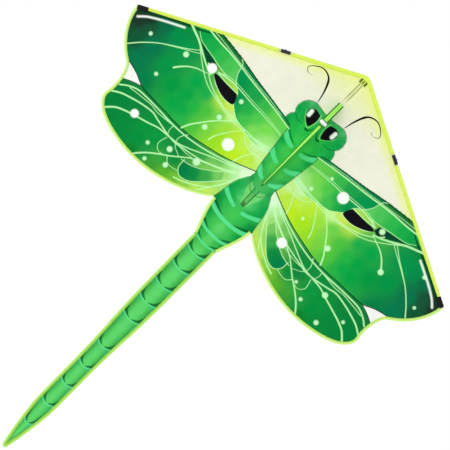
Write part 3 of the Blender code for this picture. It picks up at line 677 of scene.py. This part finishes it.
# threads are drawn 0.9 mm apart, several times coarser than taffeta's, so that they show
threadScale = 349.0
weaveAcross = addNode(tree, "ShaderNodeTexWave", {"Vector": coords, "Scale": threadScale}, bands_direction="X")
weaveDown = addNode(tree, "ShaderNodeTexWave", {"Vector": coords, "Scale": threadScale}, bands_direction="Z")
weave = addNode(tree, "ShaderNodeMath", {0: weaveAcross.outputs["Fac"], 1: weaveDown.outputs["Fac"]},
                operation="MULTIPLY")
crinkle = addNode(tree, "ShaderNodeTexNoise", {"Vector": coords, "Scale": 28.0, "Detail": 4.0})
relief = addNode(tree, "ShaderNodeMath", {0: weave.outputs[0], 1: 0.25, 2: crinkle.outputs["Fac"]},
                 operation="MULTIPLY_ADD")
bump = addNode(tree, "ShaderNodeBump", {"Height": relief.outputs[0], "Strength": 0.25, "Distance": 0.0006})
tree.links.new(bump.outputs["Normal"], shader.inputs["Normal"])
print("printed cloth material made")


def tapeMaterial(name, code, thread, roughness=0.6, pitch=0.9):
    # woven nylon tape or cloth, its threads pitch mm apart along and across the piece's own UV map (in metres)
    made, tree, shader = newMaterial(name, roughness, 0.15, sheen=0.04)
    uv = addNode(tree, "ShaderNodeTexCoord").outputs["UV"]
    along = addNode(tree, "ShaderNodeTexWave", {"Vector": uv, "Scale": 314 / pitch}, bands_direction="X")
    across = addNode(tree, "ShaderNodeTexWave", {"Vector": uv, "Scale": 314 / pitch}, bands_direction="Y")
    weave = addNode(tree, "ShaderNodeMath", {0: along.outputs["Fac"], 1: across.outputs["Fac"]}, operation="MULTIPLY")
    shade = addNode(tree, "ShaderNodeMapRange", {"Value": weave.outputs[0], "To Max": 0.5})
    colour = addNode(tree, "ShaderNodeMix", {0: shade.outputs["Result"], 6: rgba(code), 7: rgba(thread)},
                     data_type="RGBA")
    tree.links.new(colour.outputs[2], shader.inputs["Base Color"])
    bump = addNode(tree, "ShaderNodeBump", {"Height": weave.outputs[0], "Strength": 0.35, "Distance": 0.0003})
    tree.links.new(bump.outputs["Normal"], shader.inputs["Normal"])
    return made


limeBinding = tapeMaterial("limeNylonBinding", "CDF47E", "AEE25E")
tailBinding = tapeMaterial("limeNylonTailBinding", "B4EC68", "92D24C")
neonSleeve = tapeMaterial("neonNylonSleeve", "DDF35E", "C6E446")
blackWebbing = tapeMaterial("blackPolyesterWebbing", "131214", "2A2A2C", 0.75, 1.4)
whiteWebbing = tapeMaterial("whiteNylonWebbing", "F4F5F2", "D9DCD8", 0.7, 1.6)
keelLime = tapeMaterial("limeKeelCloth", "A5F566", "86DE48")
# dark green keel tape, partly the real binding and partly painted shadow: its dark colour stands in for the keel's
# shadow along its edges and its root
keelTapeAndShadow = tapeMaterial("darkGreenKeelTapeAndShadow", "1F7A1C", "155E14")
patchGreen = tapeMaterial("greenPatchCloth", "5FC05C", "46A84C")


def threadMaterial(name, code, dark):
    # twisted polyester thread: fine slanted strands with a slight gloss
    made, tree, shader = newMaterial(name, 0.5, 0.25)
    coords = addNode(tree, "ShaderNodeTexCoord").outputs["Object"]
    twist = addNode(tree, "ShaderNodeTexWave", {"Vector": coords, "Scale": 400.0}, bands_direction="DIAGONAL")
    tone = addNode(tree, "ShaderNodeMix", {0: twist.outputs["Fac"], 6: rgba(code), 7: rgba(dark)}, data_type="RGBA")
    tree.links.new(tone.outputs[2], shader.inputs["Base Color"])
    return made


oliveThread = threadMaterial("oliveSewingThread", "A2BE52", "86A63C")
leafThread = threadMaterial("leafGreenSewingThread", "6CAE36", "57962A")
blackThread = threadMaterial("blackSewingThread", "1A1A18", "0E0E0E")
paleThread = threadMaterial("paleSewingThread", "E9EFC0", "C9D296")
greenThread = threadMaterial("greenSewingThread", "2E8A2E", "1F6A22")
print("tape and thread materials made")


sides = (("left", -1), ("right", 1))


def foldWithWing(piece):
    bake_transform(piece)


def bendWithTail(piece, above, body, top):
    place(0, top)
    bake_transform(piece)


def wingOutline():
    waist = [(max(x, foldAcross(y)), y) for x, y in inset(waistEdge, 1.5)[1:] if y < 646]
    return [(foldAcross(6), 6.0), (596, 305)] + inset(freeEdge, 1.5)[1:] + waist + [(foldAcross(641), 641)]


for word, side in sides:
    piece, area = clothSheet(f"{word}WingSail", [(side * x, y) for x, y in wingOutline()], sail["grid"])
    dress(piece, printedTaffeta, [f"{word}_sail"])
    foldWithWing(piece)
print("wing sails made")

stripOutline = [(-foldAcross(6), 6), (-12, 3), (0, 1), (12, 3), (foldAcross(6), 6)]
stripOutline += [(foldAcross(y), y) for y in np.linspace(60, sail["foldEnd"], 12)]
stripOutline += [(-foldAcross(y), y) for y in np.linspace(sail["foldEnd"], 60, 12)]
strip, area = clothSheet("centreStripSail", stripOutline, sail["stripGrid"])
dress(strip, printedTaffeta, ["body_panel"], "center_frame")
print("centre strip made")

tailParts = {  # the body above each part, its own body, its top and its end
    "upper": ("center_frame", "tail_upper", sail["foldEnd"], sail["tailSeam"]),
    "lower": ("tail_upper", "tail_lower", sail["tailSeam"], 1446.0),
}
for part, (above, body, top, end) in tailParts.items():
    between = [(x, y) for x, y in tailEdge if top < y < end]
    rows = [(float(halfWidth(top)), top)] + between + [(float(halfWidth(end)), end)]
    rows = [(x - 1.5, y) for x, y in rows]
    piece, area = clothSheet(f"{part}TailSheet", rows + [(-x, y) for x, y in reversed(rows)], sail["tailGrid"])
    dress(piece, printedTaffeta, [f"{body}_panel"])
    bendWithTail(piece, above, body, top)
print("tail made")


def sweep(name, profile, stations, closedEnds=True, isOpen=False):
    # draws a profile along stations, each a function from a profile point to a place
    bm = bmesh.new()
    slot = bm.verts.layers.int.new("slot")
    run = bm.verts.layers.float.new("run")
    first = [bm.verts.new(stations[0](*p)) for p in profile]
    for i, v in enumerate(first):
        v[slot] = i
    around = list(zip(first, first[1:] + first[:1]))
    ring = [bm.edges.new(pair) for pair in (around[:-1] if isOpen else around)]
    if closedEnds:
        bmesh.ops.contextual_create(bm, geom=ring)
    reach, last = 0.0, stations[0](*profile[0])
    for station in stations[1:]:
        grown = bmesh.ops.extrude_edge_only(bm, edges=ring)["geom"]
        here = station(*profile[0])
        reach += (here - last).length
        last = here
        for item in grown:
            if isinstance(item, bmesh.types.BMVert):
                item.co = station(*profile[item[slot]])
                item[run] = reach
        ring = [e for e in grown if isinstance(e, bmesh.types.BMEdge)
                and all(v[run] == np.float32(reach) for v in e.verts)]
    if closedEnds:
        bmesh.ops.contextual_create(bm, geom=ring)
    # the UV map is in metres: along the run, and round the section halfway
    section = [stations[len(stations) // 2](*p) for p in profile]
    girth = [0.0]
    for a, b in zip(section, section[1:] + section[:1]):
        girth.append(girth[-1] + (b - a).length)
    uv = bm.loops.layers.uv.new("UVMap")
    for face in bm.faces:
        slots = [loop.vert[slot] for loop in face.loops]
        wraps = max(slots) == len(profile) - 1 and min(slots) == 0 and len(slots) == 4
        for loop in face.loops:
            i = loop.vert[slot]
            loop[uv].uv = (loop.vert[run], girth[len(profile)] if wraps and i == 0 else girth[i])
    bmesh.ops.recalc_face_normals(bm, faces=bm.faces)
    return meshOf(name, bm)


def runAt(line, i):
    a, b = line[max(i - 1, 0)], line[min(i + 1, len(line) - 1)]
    return Vector((b[0] - a[0], b[1] - a[1])).normalized()


def clothDepth(x, y):
    return float(behindSail(np.array([x]), np.array([y]))[0])


def stationsAlong(line, side):
    # stations along (across, down) points; a profile point is (inward, behind) from the line
    places = []
    for i, (x, y) in enumerate(line):

        def station(inward, behind, x=x, y=y, run=runAt(line, i)):
            px, py = x - run.y * inward, y + run.x * inward
            return place(side * px, py, behind + clothDepth(px, py))

        places.append(station)
    return places


def evenly(line, gap):
    # the line's points spread evenly, about gap apart
    pts = np.array(line, float)
    reach = np.concatenate([[0], np.cumsum(np.hypot(*np.diff(pts, axis=0).T))])
    at = np.linspace(0, reach[-1], max(int(round(reach[-1] / gap)), 1) + 1)
    return [(float(np.interp(t, reach, pts[:, 0])), float(np.interp(t, reach, pts[:, 1]))) for t in at]


binding = {
    "width": 8.0,
    "tailWidth": 9.0,
    "half": 0.85,
    "wall": 0.4,
    "stitchPitch": 3.4,
    "stitchLength": 2.3,
    "threadRadius": 0.3,
}


def foldedTape(width):
    # section of a tape folded over the cloth's edge
    half, wall = binding["half"], binding["wall"]
    outer = [(width, -half), (width * 0.5, -half - 0.08), (0.7, -half), (0.1, -half * 0.6), (-0.1, 0.0),
             (0.1, half * 0.6), (0.7, half), (width * 0.5, half + 0.08), (width, half)]
    inner = [(width, half - wall), (1.0, half - wall), (1.0, wall - half), (width, wall - half)]
    return outer + inner


def stitchesAlong(bm, line, heights, side=1, follow=True, pitch=binding["stitchPitch"],
                  length=binding["stitchLength"], radius=binding["threadRadius"]):
    # a row of stitches, each a small spindle of thread lying on the cloth
    points = evenly(line, pitch)
    size = Matrix.Diagonal((length / 2 * mm, radius * mm, radius * mm, 1))
    for a, b in zip(points, points[1:]):
        x, y = (a[0] + b[0]) / 2, (a[1] + b[1]) / 2
        depth = clothDepth(x, y) if follow else 0.0
        run = (place(side * b[0], b[1]) - place(side * a[0], a[1])).normalized()
        turn = run.to_track_quat("X", "Y").to_matrix().to_4x4()
        for behind in heights:
            fit = Matrix.Translation(place(side * x, y, behind + depth)) @ turn
            bmesh.ops.create_icosphere(bm, subdivisions=1, radius=1.0, matrix=fit @ size)


def sewnRows(name, rows, thread, body, side=1):
    # several straight rows of stitches as one piece: each row is its line, its heights and its stitch
    bm = bmesh.new()
    for line, heights, stitch in rows:
        stitchesAlong(bm, line, heights, side, follow=False, **stitch)
    return dress(meshOf(name, bm), thread, body=body)


for word, side in sides:
    stitches = bmesh.new()
    freeLine = evenly([(598.5, 306.0)] + foreEdge[1:] + hindEdge[1:], 5.0)
    waistLine = evenly(waistEdge + [(41.6, 646.5)], 4.0)
    for part, line in (("trailing", freeLine), ("waist", waistLine)):
        tape = sweep(f"{word}{part.capitalize()}Binding", foldedTape(binding["width"]), stationsAlong(line, side))
        dress(tape, limeBinding, [f"{word}_{part}_binding"])
        foldWithWing(tape)
    stitchesAlong(stitches, inset(freeLine, binding["width"] - 2.0), (-1.0, 1.0), side, length=3.0, radius=0.5)
    stitchesAlong(stitches, inset(waistLine, binding["width"] - 2.2), (-1.0, 1.0), side)
    thread = dress(meshOf(f"{word}WingStitches", stitches), oliveThread)
    foldWithWing(thread)

for part, (above, body, top, end) in tailParts.items():
    rows = [(float(halfWidth(top)), top)] + [(x, y) for x, y in tailEdge if top < y < end]
    if part == "upper":
        rows += [(float(halfWidth(end)), end)]
    else:
        rows = [p for p in rows if p[1] < 1438] + [(8.2, 1438), (7.0, 1442.5), (4.6, 1445.8), (0.4, 1447)]
    line = evenly(rows, 5.0)
    stitches = bmesh.new()
    for word, side in sides:
        name = f"{word}{part.capitalize()}TailBinding"
        tape = sweep(name, foldedTape(binding["tailWidth"]), stationsAlong(line, side))
        dress(tape, tailBinding, [f"{body}_{word}_binding"])
        bendWithTail(tape, above, body, top)
        inner = [(x, y) for x, y in inset(line, binding["tailWidth"] - 2.4) if x > 1.0]
        stitchesAlong(stitches, inner, (-1.0, 1.0), side, length=3.3, radius=0.85)
    thread = dress(meshOf(f"{part}TailStitches", stitches), leafThread)
    bendWithTail(thread, above, body, top)
print("bindings sewn")

sleeve = {
    "noseWidth": 12.2,
    "tipWidth": 9.0,
    "wrap": 3.5,
    "rodInward": 4.2,
    "flatHalf": 1.3,
    "rodFrom": 27.0,
    "connectorAt": 243.0,
    "cutHalf": 18.0,
    "pucker": 0.22,
    "wall": 0.3,
}
edgeLength = sail["halfSpan"] / edgeCos


def teardrop(turn, width, hemHalf, half, edgeIn=0.0, pucker=0.0):
    # a teardrop of cloth round the spar: (inward, behind) at a turn from 0 to 1, from the sewn hem round and back
    centre = sleeve["rodInward"]
    if 0.25 <= turn <= 0.75:
        angle = math.pi * (0.5 + (turn - 0.25) * 2)
        return centre + (centre - edgeIn) * math.cos(angle), -half * math.sin(angle)
    t = min(turn, 1 - turn) / 0.25
    behind = hemHalf + (half - hemHalf) * t * t * (1.6 - 0.6 * t) + pucker * math.sin(math.pi * t)
    return width + (centre - width) * t, behind if turn > 0.5 else -behind


def sleevePoint(turn, along):
    share = min(max((along - 60) / (edgeLength - 60), 0), 1)
    width = sleeve["noseWidth"] + (sleeve["tipWidth"] - sleeve["noseWidth"]) * share
    half = sleeve["flatHalf"] + (sleeve["wrap"] - sleeve["flatHalf"]) * float(smooth(10, sleeve["rodFrom"], along))
    pucker = sleeve["pucker"] * math.sin(along * 0.55 + math.sin(along * 0.13) * 2)
    return teardrop(turn, width, 0.75, half, pucker=pucker)


def alongAtFold(inward):
    # how far along the edge the fold line crosses that inward distance
    k = sail["foldGrow"]
    reach = sail["foldTop"] + k * sail["edgeStart"]
    return (reach + inward * (edgeSin + k * edgeCos)) / (edgeCos - k * edgeSin)


def giveWall(piece, offset):
    wall = piece.modifiers.new("cloth", "SOLIDIFY")
    wall.thickness, wall.offset = sleeve["wall"] * mm, offset


turns = [(i / 26, 0.0) for i in range(27)]
sleeveSpans = {
    "inner": (0.0, sleeve["connectorAt"] - sleeve["cutHalf"]),
    "outer": (sleeve["connectorAt"] + sleeve["cutHalf"], edgeLength - 27.0),
}
for word, side in sides:
    stitches = bmesh.new()
    for part, (near, far) in sleeveSpans.items():
        alongs = [float(a) for a in np.linspace(near, far, int((far - near) / 4.0) + 1)]
        stations = []
        for k, along in enumerate(alongs):

            def station(turn, _, along=along, k=k):
                inward, behind = sleevePoint(turn, along)
                if part == "inner":  # the first stations lean so that the sleeve ends on the fold line
                    along = max(along, alongAtFold(inward) + 0.15 * k)
                    inward, behind = sleevePoint(turn, along)
                x, y = onEdge(along, inward)
                return place(side * x, y, behind)

            stations.append(station)
        tube = sweep(f"{word}LeadingSleeve{part.capitalize()}", turns, stations, closedEnds=False)
        giveWall(tube, -1.0)
        dress(tube, neonSleeve, [f"{word}_leading_sleeve_{part}"])
        foldWithWing(tube)
        hem = [onEdge(a, sleevePoint(0.0, a)[0] - 1.4) for a in alongs if a > 22]
        stitchesAlong(stitches, hem, (-1.25, 1.25), side, follow=False, pitch=3.6)
    thread = dress(meshOf(f"{word}SleeveStitches", stitches), oliveThread)
    foldWithWing(thread)
print("leading sleeves sewn")


def noseStations():
    # across the nose from fold line to fold line, in the same section as the sleeves beside it
    def atFold(side):
        def station(turn, _):
            inward = sleevePoint(turn, 0.0)[0]
            inward, behind = sleevePoint(turn, alongAtFold(inward))
            x, y = onEdge(alongAtFold(inward), inward)
            return place(side * x, y, behind)

        return station

    middle = []
    for x, y in [(-12.0, 3.0), (-8.0, 1.6), (-4.0, 0.6), (0.0, 0.0), (4.0, 0.6), (8.0, 1.6), (12.0, 3.0)]:

        def station(turn, _, x=x, y=y, lean=0.46 * x / 12.0):
            inward, behind = sleevePoint(turn, 10.0)
            return place(x - lean * inward, y + inward * math.sqrt(1 - lean * lean), behind)

        middle.append(station)
    return [atFold(-1)] + middle + [atFold(1)]


nose = sweep("noseHem", turns, noseStations(), closedEnds=False)
dress(nose, neonSleeve, ["nose_hem"], "center_frame")

patches = {  # half width, top, end, front face behind the sail, thickness
    "nosePatch": (12.6, 14.5, 28.0, -1.35, 0.5),
    "keelSeamTape": (4.6, 108.0, 426.0, -0.8, 0.3),
    "spineEndPatch": (5.4, 455.5, 502.5, -0.85, 0.4),
    "tailSeamTape": (25.5, 974.4, 982.0, 0.85, 0.5),
}


def flatTape(name, gap=6.0, narrowing=None):
    # a thin strip lying on the sail, its rim a little rounded
    half, top, end, front, thick = patches[name]
    edge = thick * 0.35
    profile = [(-1, edge), (-0.96, 0.0), (0.96, 0.0), (1, edge), (1, thick), (-1, thick)]
    stations = []
    for _, y in evenly([(0.0, top), (0.0, end)], gap):

        def station(across, back, y=y, wide=half * (narrowing(y) if narrowing else 1.0)):
            return place(across * wide, y, front + back)

        stations.append(station)
    return sweep(name, profile, stations)


dress(flatTape("nosePatch", gap=3.0), neonSleeve, ["nose_patch"], "center_frame")
# painted shadow in part: the dark seam tape under the keel narrows towards the rear like the keel's shadow on the
# sail
seamTape = flatTape("keelSeamTape", narrowing=lambda y: 1.0 - 0.68 * float(smooth(170, 420, y)))
dress(seamTape, keelTapeAndShadow, ["keel_seam_tape"], "center_frame")
dress(flatTape("spineEndPatch"), patchGreen, ["spine_end_patch"], "center_frame")

heavy = {"pitch": 3.2, "length": 3.8, "radius": 1.1}
rows = [([(x, 14.8), (x, 27.6)], (-1.45,), heavy) for x in (-10.6, -8.6, -6.4, -1.6, 1.6, 6.4, 8.6, 10.6)]
sewnRows("nosePatchBarTacks", rows, blackThread, "center_frame")
rows = []
for x in (-4.6, 4.6):
    rows.append(([(x, 457.0), (x, 490.0)], (-0.95,), {"pitch": 3.0, "length": 2.9, "radius": 0.45}))
    rows.append(([(x, 30.0), (x, 90.0)], (-0.6,), {"length": 2.4, "radius": 0.25}))
sewnRows("spineSeamStitches", rows, greenThread, "center_frame")
slanted = {"length": 3.8, "radius": 0.8}
rows = [([(-5.2, 490.5 + i * 2.2), (5.2, 491.4 + i * 2.2)], (-1.0,), slanted) for i in range(6)]
sewnRows("spineEndBarTack", rows, blackThread, "center_frame")
print("nose, keel seam and patches sewn")

spine = {"behind": 5.4, "tunnelHalf": 6.9, "tunnelDome": 3.1, "pocketHalf": 8.8, "pocketDome": 4.0}


def tunnel(name, half, dome, base, rows):
    # cloth sewn down on both sides of the spine; rows are (down, fullness of the dome)
    arc = [math.radians(200 - 220 * i / 12) for i in range(13)]
    section = [(-1.0, 0.0, 0), (-0.8, 0.1, 0)] + [(0, 0, a) for a in arc] + [(0.8, 0.1, 0), (1.0, 0.0, 0)]
    stations = []
    for y, full in rows:

        def station(i, _, y=y, full=full):
            across, lift, angle = section[i]
            if not 1 < i < len(section) - 2:
                return place(across * half, y, base + 0.4 + lift)
            crease = 0.12 * math.sin(y * 0.4 + i)
            centre = base + (spine["behind"] - base) * full
            behind = centre + (dome * math.sin(angle) + crease) * full
            return place(dome * math.cos(angle), y, max(behind, base + 0.4))

        stations.append(station)
    piece = sweep(name, [(i, 0.0) for i in range(len(section))], stations, closedEnds=False, isOpen=True)
    giveWall(piece, 0.0)
    return piece


piece = tunnel("spineTunnel", spine["tunnelHalf"], spine["tunnelDome"], 0.8,
               [(y, 1.0) for y in np.linspace(34.8, 469.2, 88)])
dress(piece, limeBinding, ["spine_sleeve"], "center_frame")
pocketRows = {
    "nosePocket": ("nose_pocket", 1.0, [(10.5, 0.25), (12.0, 0.7), (14.0, 0.95), (17.0, 1.0), (22.0, 1.0),
                                        (28.0, 1.0), (34.0, 1.0)]),
    "spineEndPocket": ("spine_end_pocket", 0.8, [(470.2, 1.0), (478.0, 1.0), (486.0, 1.0), (494.0, 1.0),
                                                 (499.5, 1.0), (502.0, 0.85), (504.6, 0.3)]),
}
for name, (node, base, rows) in pocketRows.items():
    piece = tunnel(name, spine["pocketHalf"], spine["pocketDome"], base, rows)
    dress(piece, blackWebbing, [node], "center_frame")
rows = [([(x, 36.0), (x, 468.0)], (1.35,), {"pitch": 3.6}) for x in (-5.9, 5.9)]
sewnRows("spineTunnelStitches", rows, oliveThread, "center_frame")
rows = []
for x in (-7.6, 7.6):
    rows.append(([(x, 12.0), (x, 33.0)], (1.6,), {"pitch": 3.0}))
    rows.append(([(x, 471.5), (x, 503.0)], (1.4,), {"pitch": 3.0}))
sewnRows("spinePocketStitches", rows, paleThread, "center_frame")
print("spine tunnel and pockets sewn")

tipPocket = {"length": 32.0, "width": 15.6, "endWidth": 13.6, "half": 4.4, "endHalf": 1.6, "hemHalf": 1.3}

for word, side in sides:
    stations = []
    for k in range(13):
        share = k / 12
        closing = float(smooth(0.72, 1.0, share))
        width = tipPocket["width"] + (tipPocket["endWidth"] - tipPocket["width"]) * closing
        half = tipPocket["half"] + (tipPocket["endHalf"] - tipPocket["half"]) * closing

        def station(turn, _, along=edgeLength - tipPocket["length"] * (1 - share) - 0.2, width=width, half=half,
                    edgeIn=1.1 * float(smooth(0.88, 1.0, share))):
            inward, behind = teardrop(turn, width, tipPocket["hemHalf"], half, edgeIn)
            x, y = onEdge(along, inward)
            return place(side * x, y, behind)

        stations.append(station)
    pocket = sweep(f"{word}TipPocket", turns, stations)
    dress(pocket, blackWebbing, [f"{word}_tip_pocket"], f"{word}_wing")
    hemIn = tipPocket["width"] - 2.0
    start = edgeLength - 30.5
    rows = [
        ([onEdge(start, hemIn), onEdge(edgeLength - 6.0, hemIn - 0.8)], (-1.75, 1.75), {"pitch": 3.0}),
        ([onEdge(start, 9.0), onEdge(start, hemIn)], (-2.9, 2.9), {"pitch": 2.6}),
    ]
    sewnRows(f"{word}TipStitches", rows, blackThread, f"{word}_wing", side)
print("tip pockets sewn")

keel = {
    "top": 98.0,
    "end": 424.0,
    "root": -1.8,  # where the keel meets the sail, behind it
    "depth": 107.5,
    "towDown": 195.0,
    "flat": (0.326, 0.107),  # the panel as it was cut, in metres
    "flatArea": 0.0176,
    "frontHalf": (9.0, 9.0),
    "frontCentre": (5.5, 5.5),
    "rearHalf": (5.8, 2.2),
    "rearCentre": (3.9, 1.2),
}


def keelPoint(share, depthShare, across=0.0):
    # on the keel's panel: share runs from the front edge to the rear edge
    y0 = keel["top"] + (keel["towDown"] - 3 - keel["top"]) * depthShare
    y1 = keel["end"] + (keel["towDown"] + 3 - keel["end"]) * depthShare
    return place(across, y0 + (y1 - y0) * share, keel["root"] - (keel["depth"] - 1.8 + keel["root"]) * depthShare)


bm = bmesh.new()
bmesh.ops.create_grid(bm, x_segments=110, y_segments=44, size=0.5, matrix=Matrix.Translation((0.5, 0.5, 0)))
uv = bm.loops.layers.uv.new("UVMap")
for face in bm.faces:
    for loop in face.loops:
        loop[uv].uv = (loop.vert.co.x * keel["flat"][0], loop.vert.co.y * keel["flat"][1])
for v in bm.verts:
    share, deep = v.co.x, v.co.y
    calm = smooth(0.0, 0.1, share) * smooth(1.0, 0.9, share) * smooth(0.0, 0.12, deep) * smooth(1.0, 0.85, deep)
    v.co = keelPoint(share, deep, 0.5 * math.sin(share * 9.0 + deep * 4.0) * float(calm))
keelPanel = dress(meshOf("keelPanel", bm), keelLime, ["keel_panel"], "keel")


def edgeBand(name, start, end, halves, low, high):
    # a tape over the keel's edge, from low to high in front of it
    a, b = keelPoint(*start), keelPoint(*end)
    out = Vector((1, 0, 0)).cross((b - a).normalized())
    if out.dot(a - place(0, keel["towDown"], -40)) < 0:
        out = -out
    profile = [(-1.0, 0.0), (-1.0, 0.5), (-0.97, 1.0), (0.97, 1.0), (1.0, 0.5), (1.0, 0.0)]
    stations = []
    for k in range(25):
        share = k / 24

        def station(across, lift, centre=a + (b - a) * share, half=halves[0] + (halves[1] - halves[0]) * share):
            return centre + Vector((across * half * mm, 0, 0)) + out * (low + (high - low) * lift) * mm

        stations.append(station)
    return sweep(name, profile, stations)


edgeSpans = {"front": ((0, 0.135), (0, 0.93)), "rear": ((1, 0.97), (1, 0.03))}
# painted shadow in part: the dark edge tapes stand out past the lime bands as dark margins along the keel's edges
for part, span in edgeSpans.items():
    tape = edgeBand(f"keel{part.capitalize()}Edge", *span, keel[f"{part}Half"], 0.3, 0.9)
    dress(tape, keelTapeAndShadow, [f"keel_{part}_binding"], "keel")
    band = edgeBand(f"keel{part.capitalize()}Band", *span, keel[f"{part}Centre"], 0.9, 1.45)
    dress(band, keelLime, body="keel")

loopShape = {"halfX": 10.2, "halfY": 6.0, "halfZ": 4.15, "thick": 1.4, "neck": 9.5, "leg": 28.0, "legX": 1.65}


def loopPath():
    # from one leg on the keel, round the eye and back to the other leg
    leg = [(loopShape["legX"], y) for y in np.linspace(loopShape["leg"], loopShape["neck"], 9)]
    turn = [math.radians(72 - 324 / 28 * i) for i in range(29)]
    eye = [(loopShape["halfX"] * math.cos(a), loopShape["halfY"] * math.sin(a)) for a in turn]
    return leg + eye + [(-x, y) for x, y in reversed(leg)]


path = loopPath()
half, wide = loopShape["thick"] / 2, loopShape["halfZ"]
profile = [(-half, -wide + 0.3), (-half, wide - 0.3), (-half * 0.5, wide), (half * 0.5, wide),
           (half, wide - 0.3), (half, -wide + 0.3), (half * 0.5, -wide), (-half * 0.5, -wide)]
stations = []
for i, (x, y) in enumerate(path):

    def station(off, lift, x=x, y=y, run=runAt(path, i)):
        return place(x - run.y * off, keel["towDown"] - lift, y + run.x * off - sailY / mm)

    stations.append(station)
dress(sweep("towLoop", profile, stations), whiteWebbing, ["tow_loop"], "keel")
bars = bmesh.new()
size = Matrix.Diagonal((0.25 * mm, 0.3 * mm, 1.0 * mm, 1))
for across in (-2.45, 2.45):
    for deep in (13.0, 15.5, 18.0, 20.5, 23.0, 25.5):
        for lift in (-2.0, 0.0, 2.0):
            fit = Matrix.Translation(place(across, keel["towDown"] - lift, deep - sailY / mm))
            bmesh.ops.create_icosphere(bars, subdivisions=1, radius=1.0, matrix=fit @ size)
dress(meshOf("towLoopBarTack", bars), paleThread, body="keel")
dress(flatTape("tailSeamTape", gap=2.0), limeBinding, ["tail_seam_tape"], "tail_upper")
print("keel, tow loop and tail seam sewn")


def rodMaterial(name, code, flecks, roughness):
    # pulled fibreglass or moulded vinyl: fine flecks under a clear skin, which catches a soft highlight
    made, tree, shader = newMaterial(name, roughness, 0.5)
    shader.inputs["IOR"].default_value = 1.5
    coords = addNode(tree, "ShaderNodeTexCoord").outputs["Object"]
    fibre = addNode(tree, "ShaderNodeTexNoise", {"Vector": coords, "Scale": 900.0, "Detail": 2.0})
    tone = addNode(tree, "ShaderNodeMix", {0: fibre.outputs["Fac"], 6: rgba(code), 7: rgba(flecks)}, data_type="RGBA")
    tree.links.new(tone.outputs[2], shader.inputs["Base Color"])
    bump = addNode(tree, "ShaderNodeBump", {"Height": fibre.outputs["Fac"], "Strength": 0.15, "Distance": 0.0001})
    tree.links.new(bump.outputs["Normal"], shader.inputs["Normal"])
    return made


hardParts = {
    rodMaterial("whiteFibreglassRod", "EDEBE2", "DAD6C8", 0.32): [
        "spine_spar", "left_leading_spar", "right_leading_spar", "spreader_rod"],
    rodMaterial("blackMouldedVinyl", "08080A", "131315", 0.6): [
        "spine_top_cap", "spine_bottom_cap", "spreader_left_cap", "spreader_right_cap", "left_spar_nose_cap",
        "left_spar_tip_cap", "left_connector", "right_spar_nose_cap", "right_spar_tip_cap", "right_connector"],
}
for look, names in hardParts.items():
    for name in names:
        for socket in bpy.data.objects[name].material_slots:
            socket.material = look
print("rods, caps and connectors finished")

studio = {
    "worldStrength": 0.78,
    "keyEnergy": 34.0,
    "keySize": 3.6,
    "keyPlace": (-1.6, -2.6, 1.9),
    "floorSize": 8.0,
    "floorGap": 0.004,
    "floorCode": "F6F6F5",
    "floorGlow": 0.34,
}


def addStudio():
    world = bpy.data.worlds.new("paleStudio")
    bpy.context.scene.world = world
    world.use_nodes = True
    tree = world.node_tree
    soft = tree.nodes["Background"]
    soft.inputs["Color"].default_value = (1, 1, 1, 1)
    soft.inputs["Strength"].default_value = studio["worldStrength"]
    seen = addNode(tree, "ShaderNodeBackground", {"Color": (1, 1, 1, 1), "Strength": 1.0})
    isCamera = addNode(tree, "ShaderNodeLightPath").outputs["Is Camera Ray"]
    chosen = addNode(tree, "ShaderNodeMixShader", {0: isCamera, 1: soft.outputs[0], 2: seen.outputs[0]})
    tree.links.new(chosen.outputs[0], tree.nodes["World Output"].inputs["Surface"])
    light = bpy.data.lights.new("softKey", "AREA")
    light.shape = "DISK"
    light.size = studio["keySize"]
    light.energy = studio["keyEnergy"]
    holder = bpy.data.objects.new("softKey", light)
    bpy.context.collection.objects.link(holder)
    spot = Vector(studio["keyPlace"])
    aim = place(0, 450) - spot
    holder.matrix_world = Matrix.Translation(spot) @ aim.to_track_quat("-Z", "Y").to_matrix().to_4x4()
    bm = bmesh.new()
    bmesh.ops.create_grid(bm, x_segments=1, y_segments=1, size=studio["floorSize"] / 2,
                          matrix=Matrix.Translation((0, 0, cadBox[0][2] - studio["floorGap"])))
    floor = meshOf("studioFloor", bm)
    made, tree, shader = newMaterial("palePaintedFloor", 0.9, 0.1)
    grain = addNode(tree, "ShaderNodeTexNoise", {"Scale": 6.0})
    tone = addNode(tree, "ShaderNodeMix", {0: grain.outputs["Fac"], 6: rgba(studio["floorCode"]), 7: rgba("FAFAF8")},
                   data_type="RGBA")
    tree.links.new(tone.outputs[2], shader.inputs["Base Color"])
    shader.inputs["Emission Color"].default_value = (1, 1, 1, 1)
    shader.inputs["Emission Strength"].default_value = studio["floorGlow"]
    floor.data.materials.append(made)


addStudio()
bpy.context.scene.view_settings.view_transform = "Standard"
print("light and floor set")
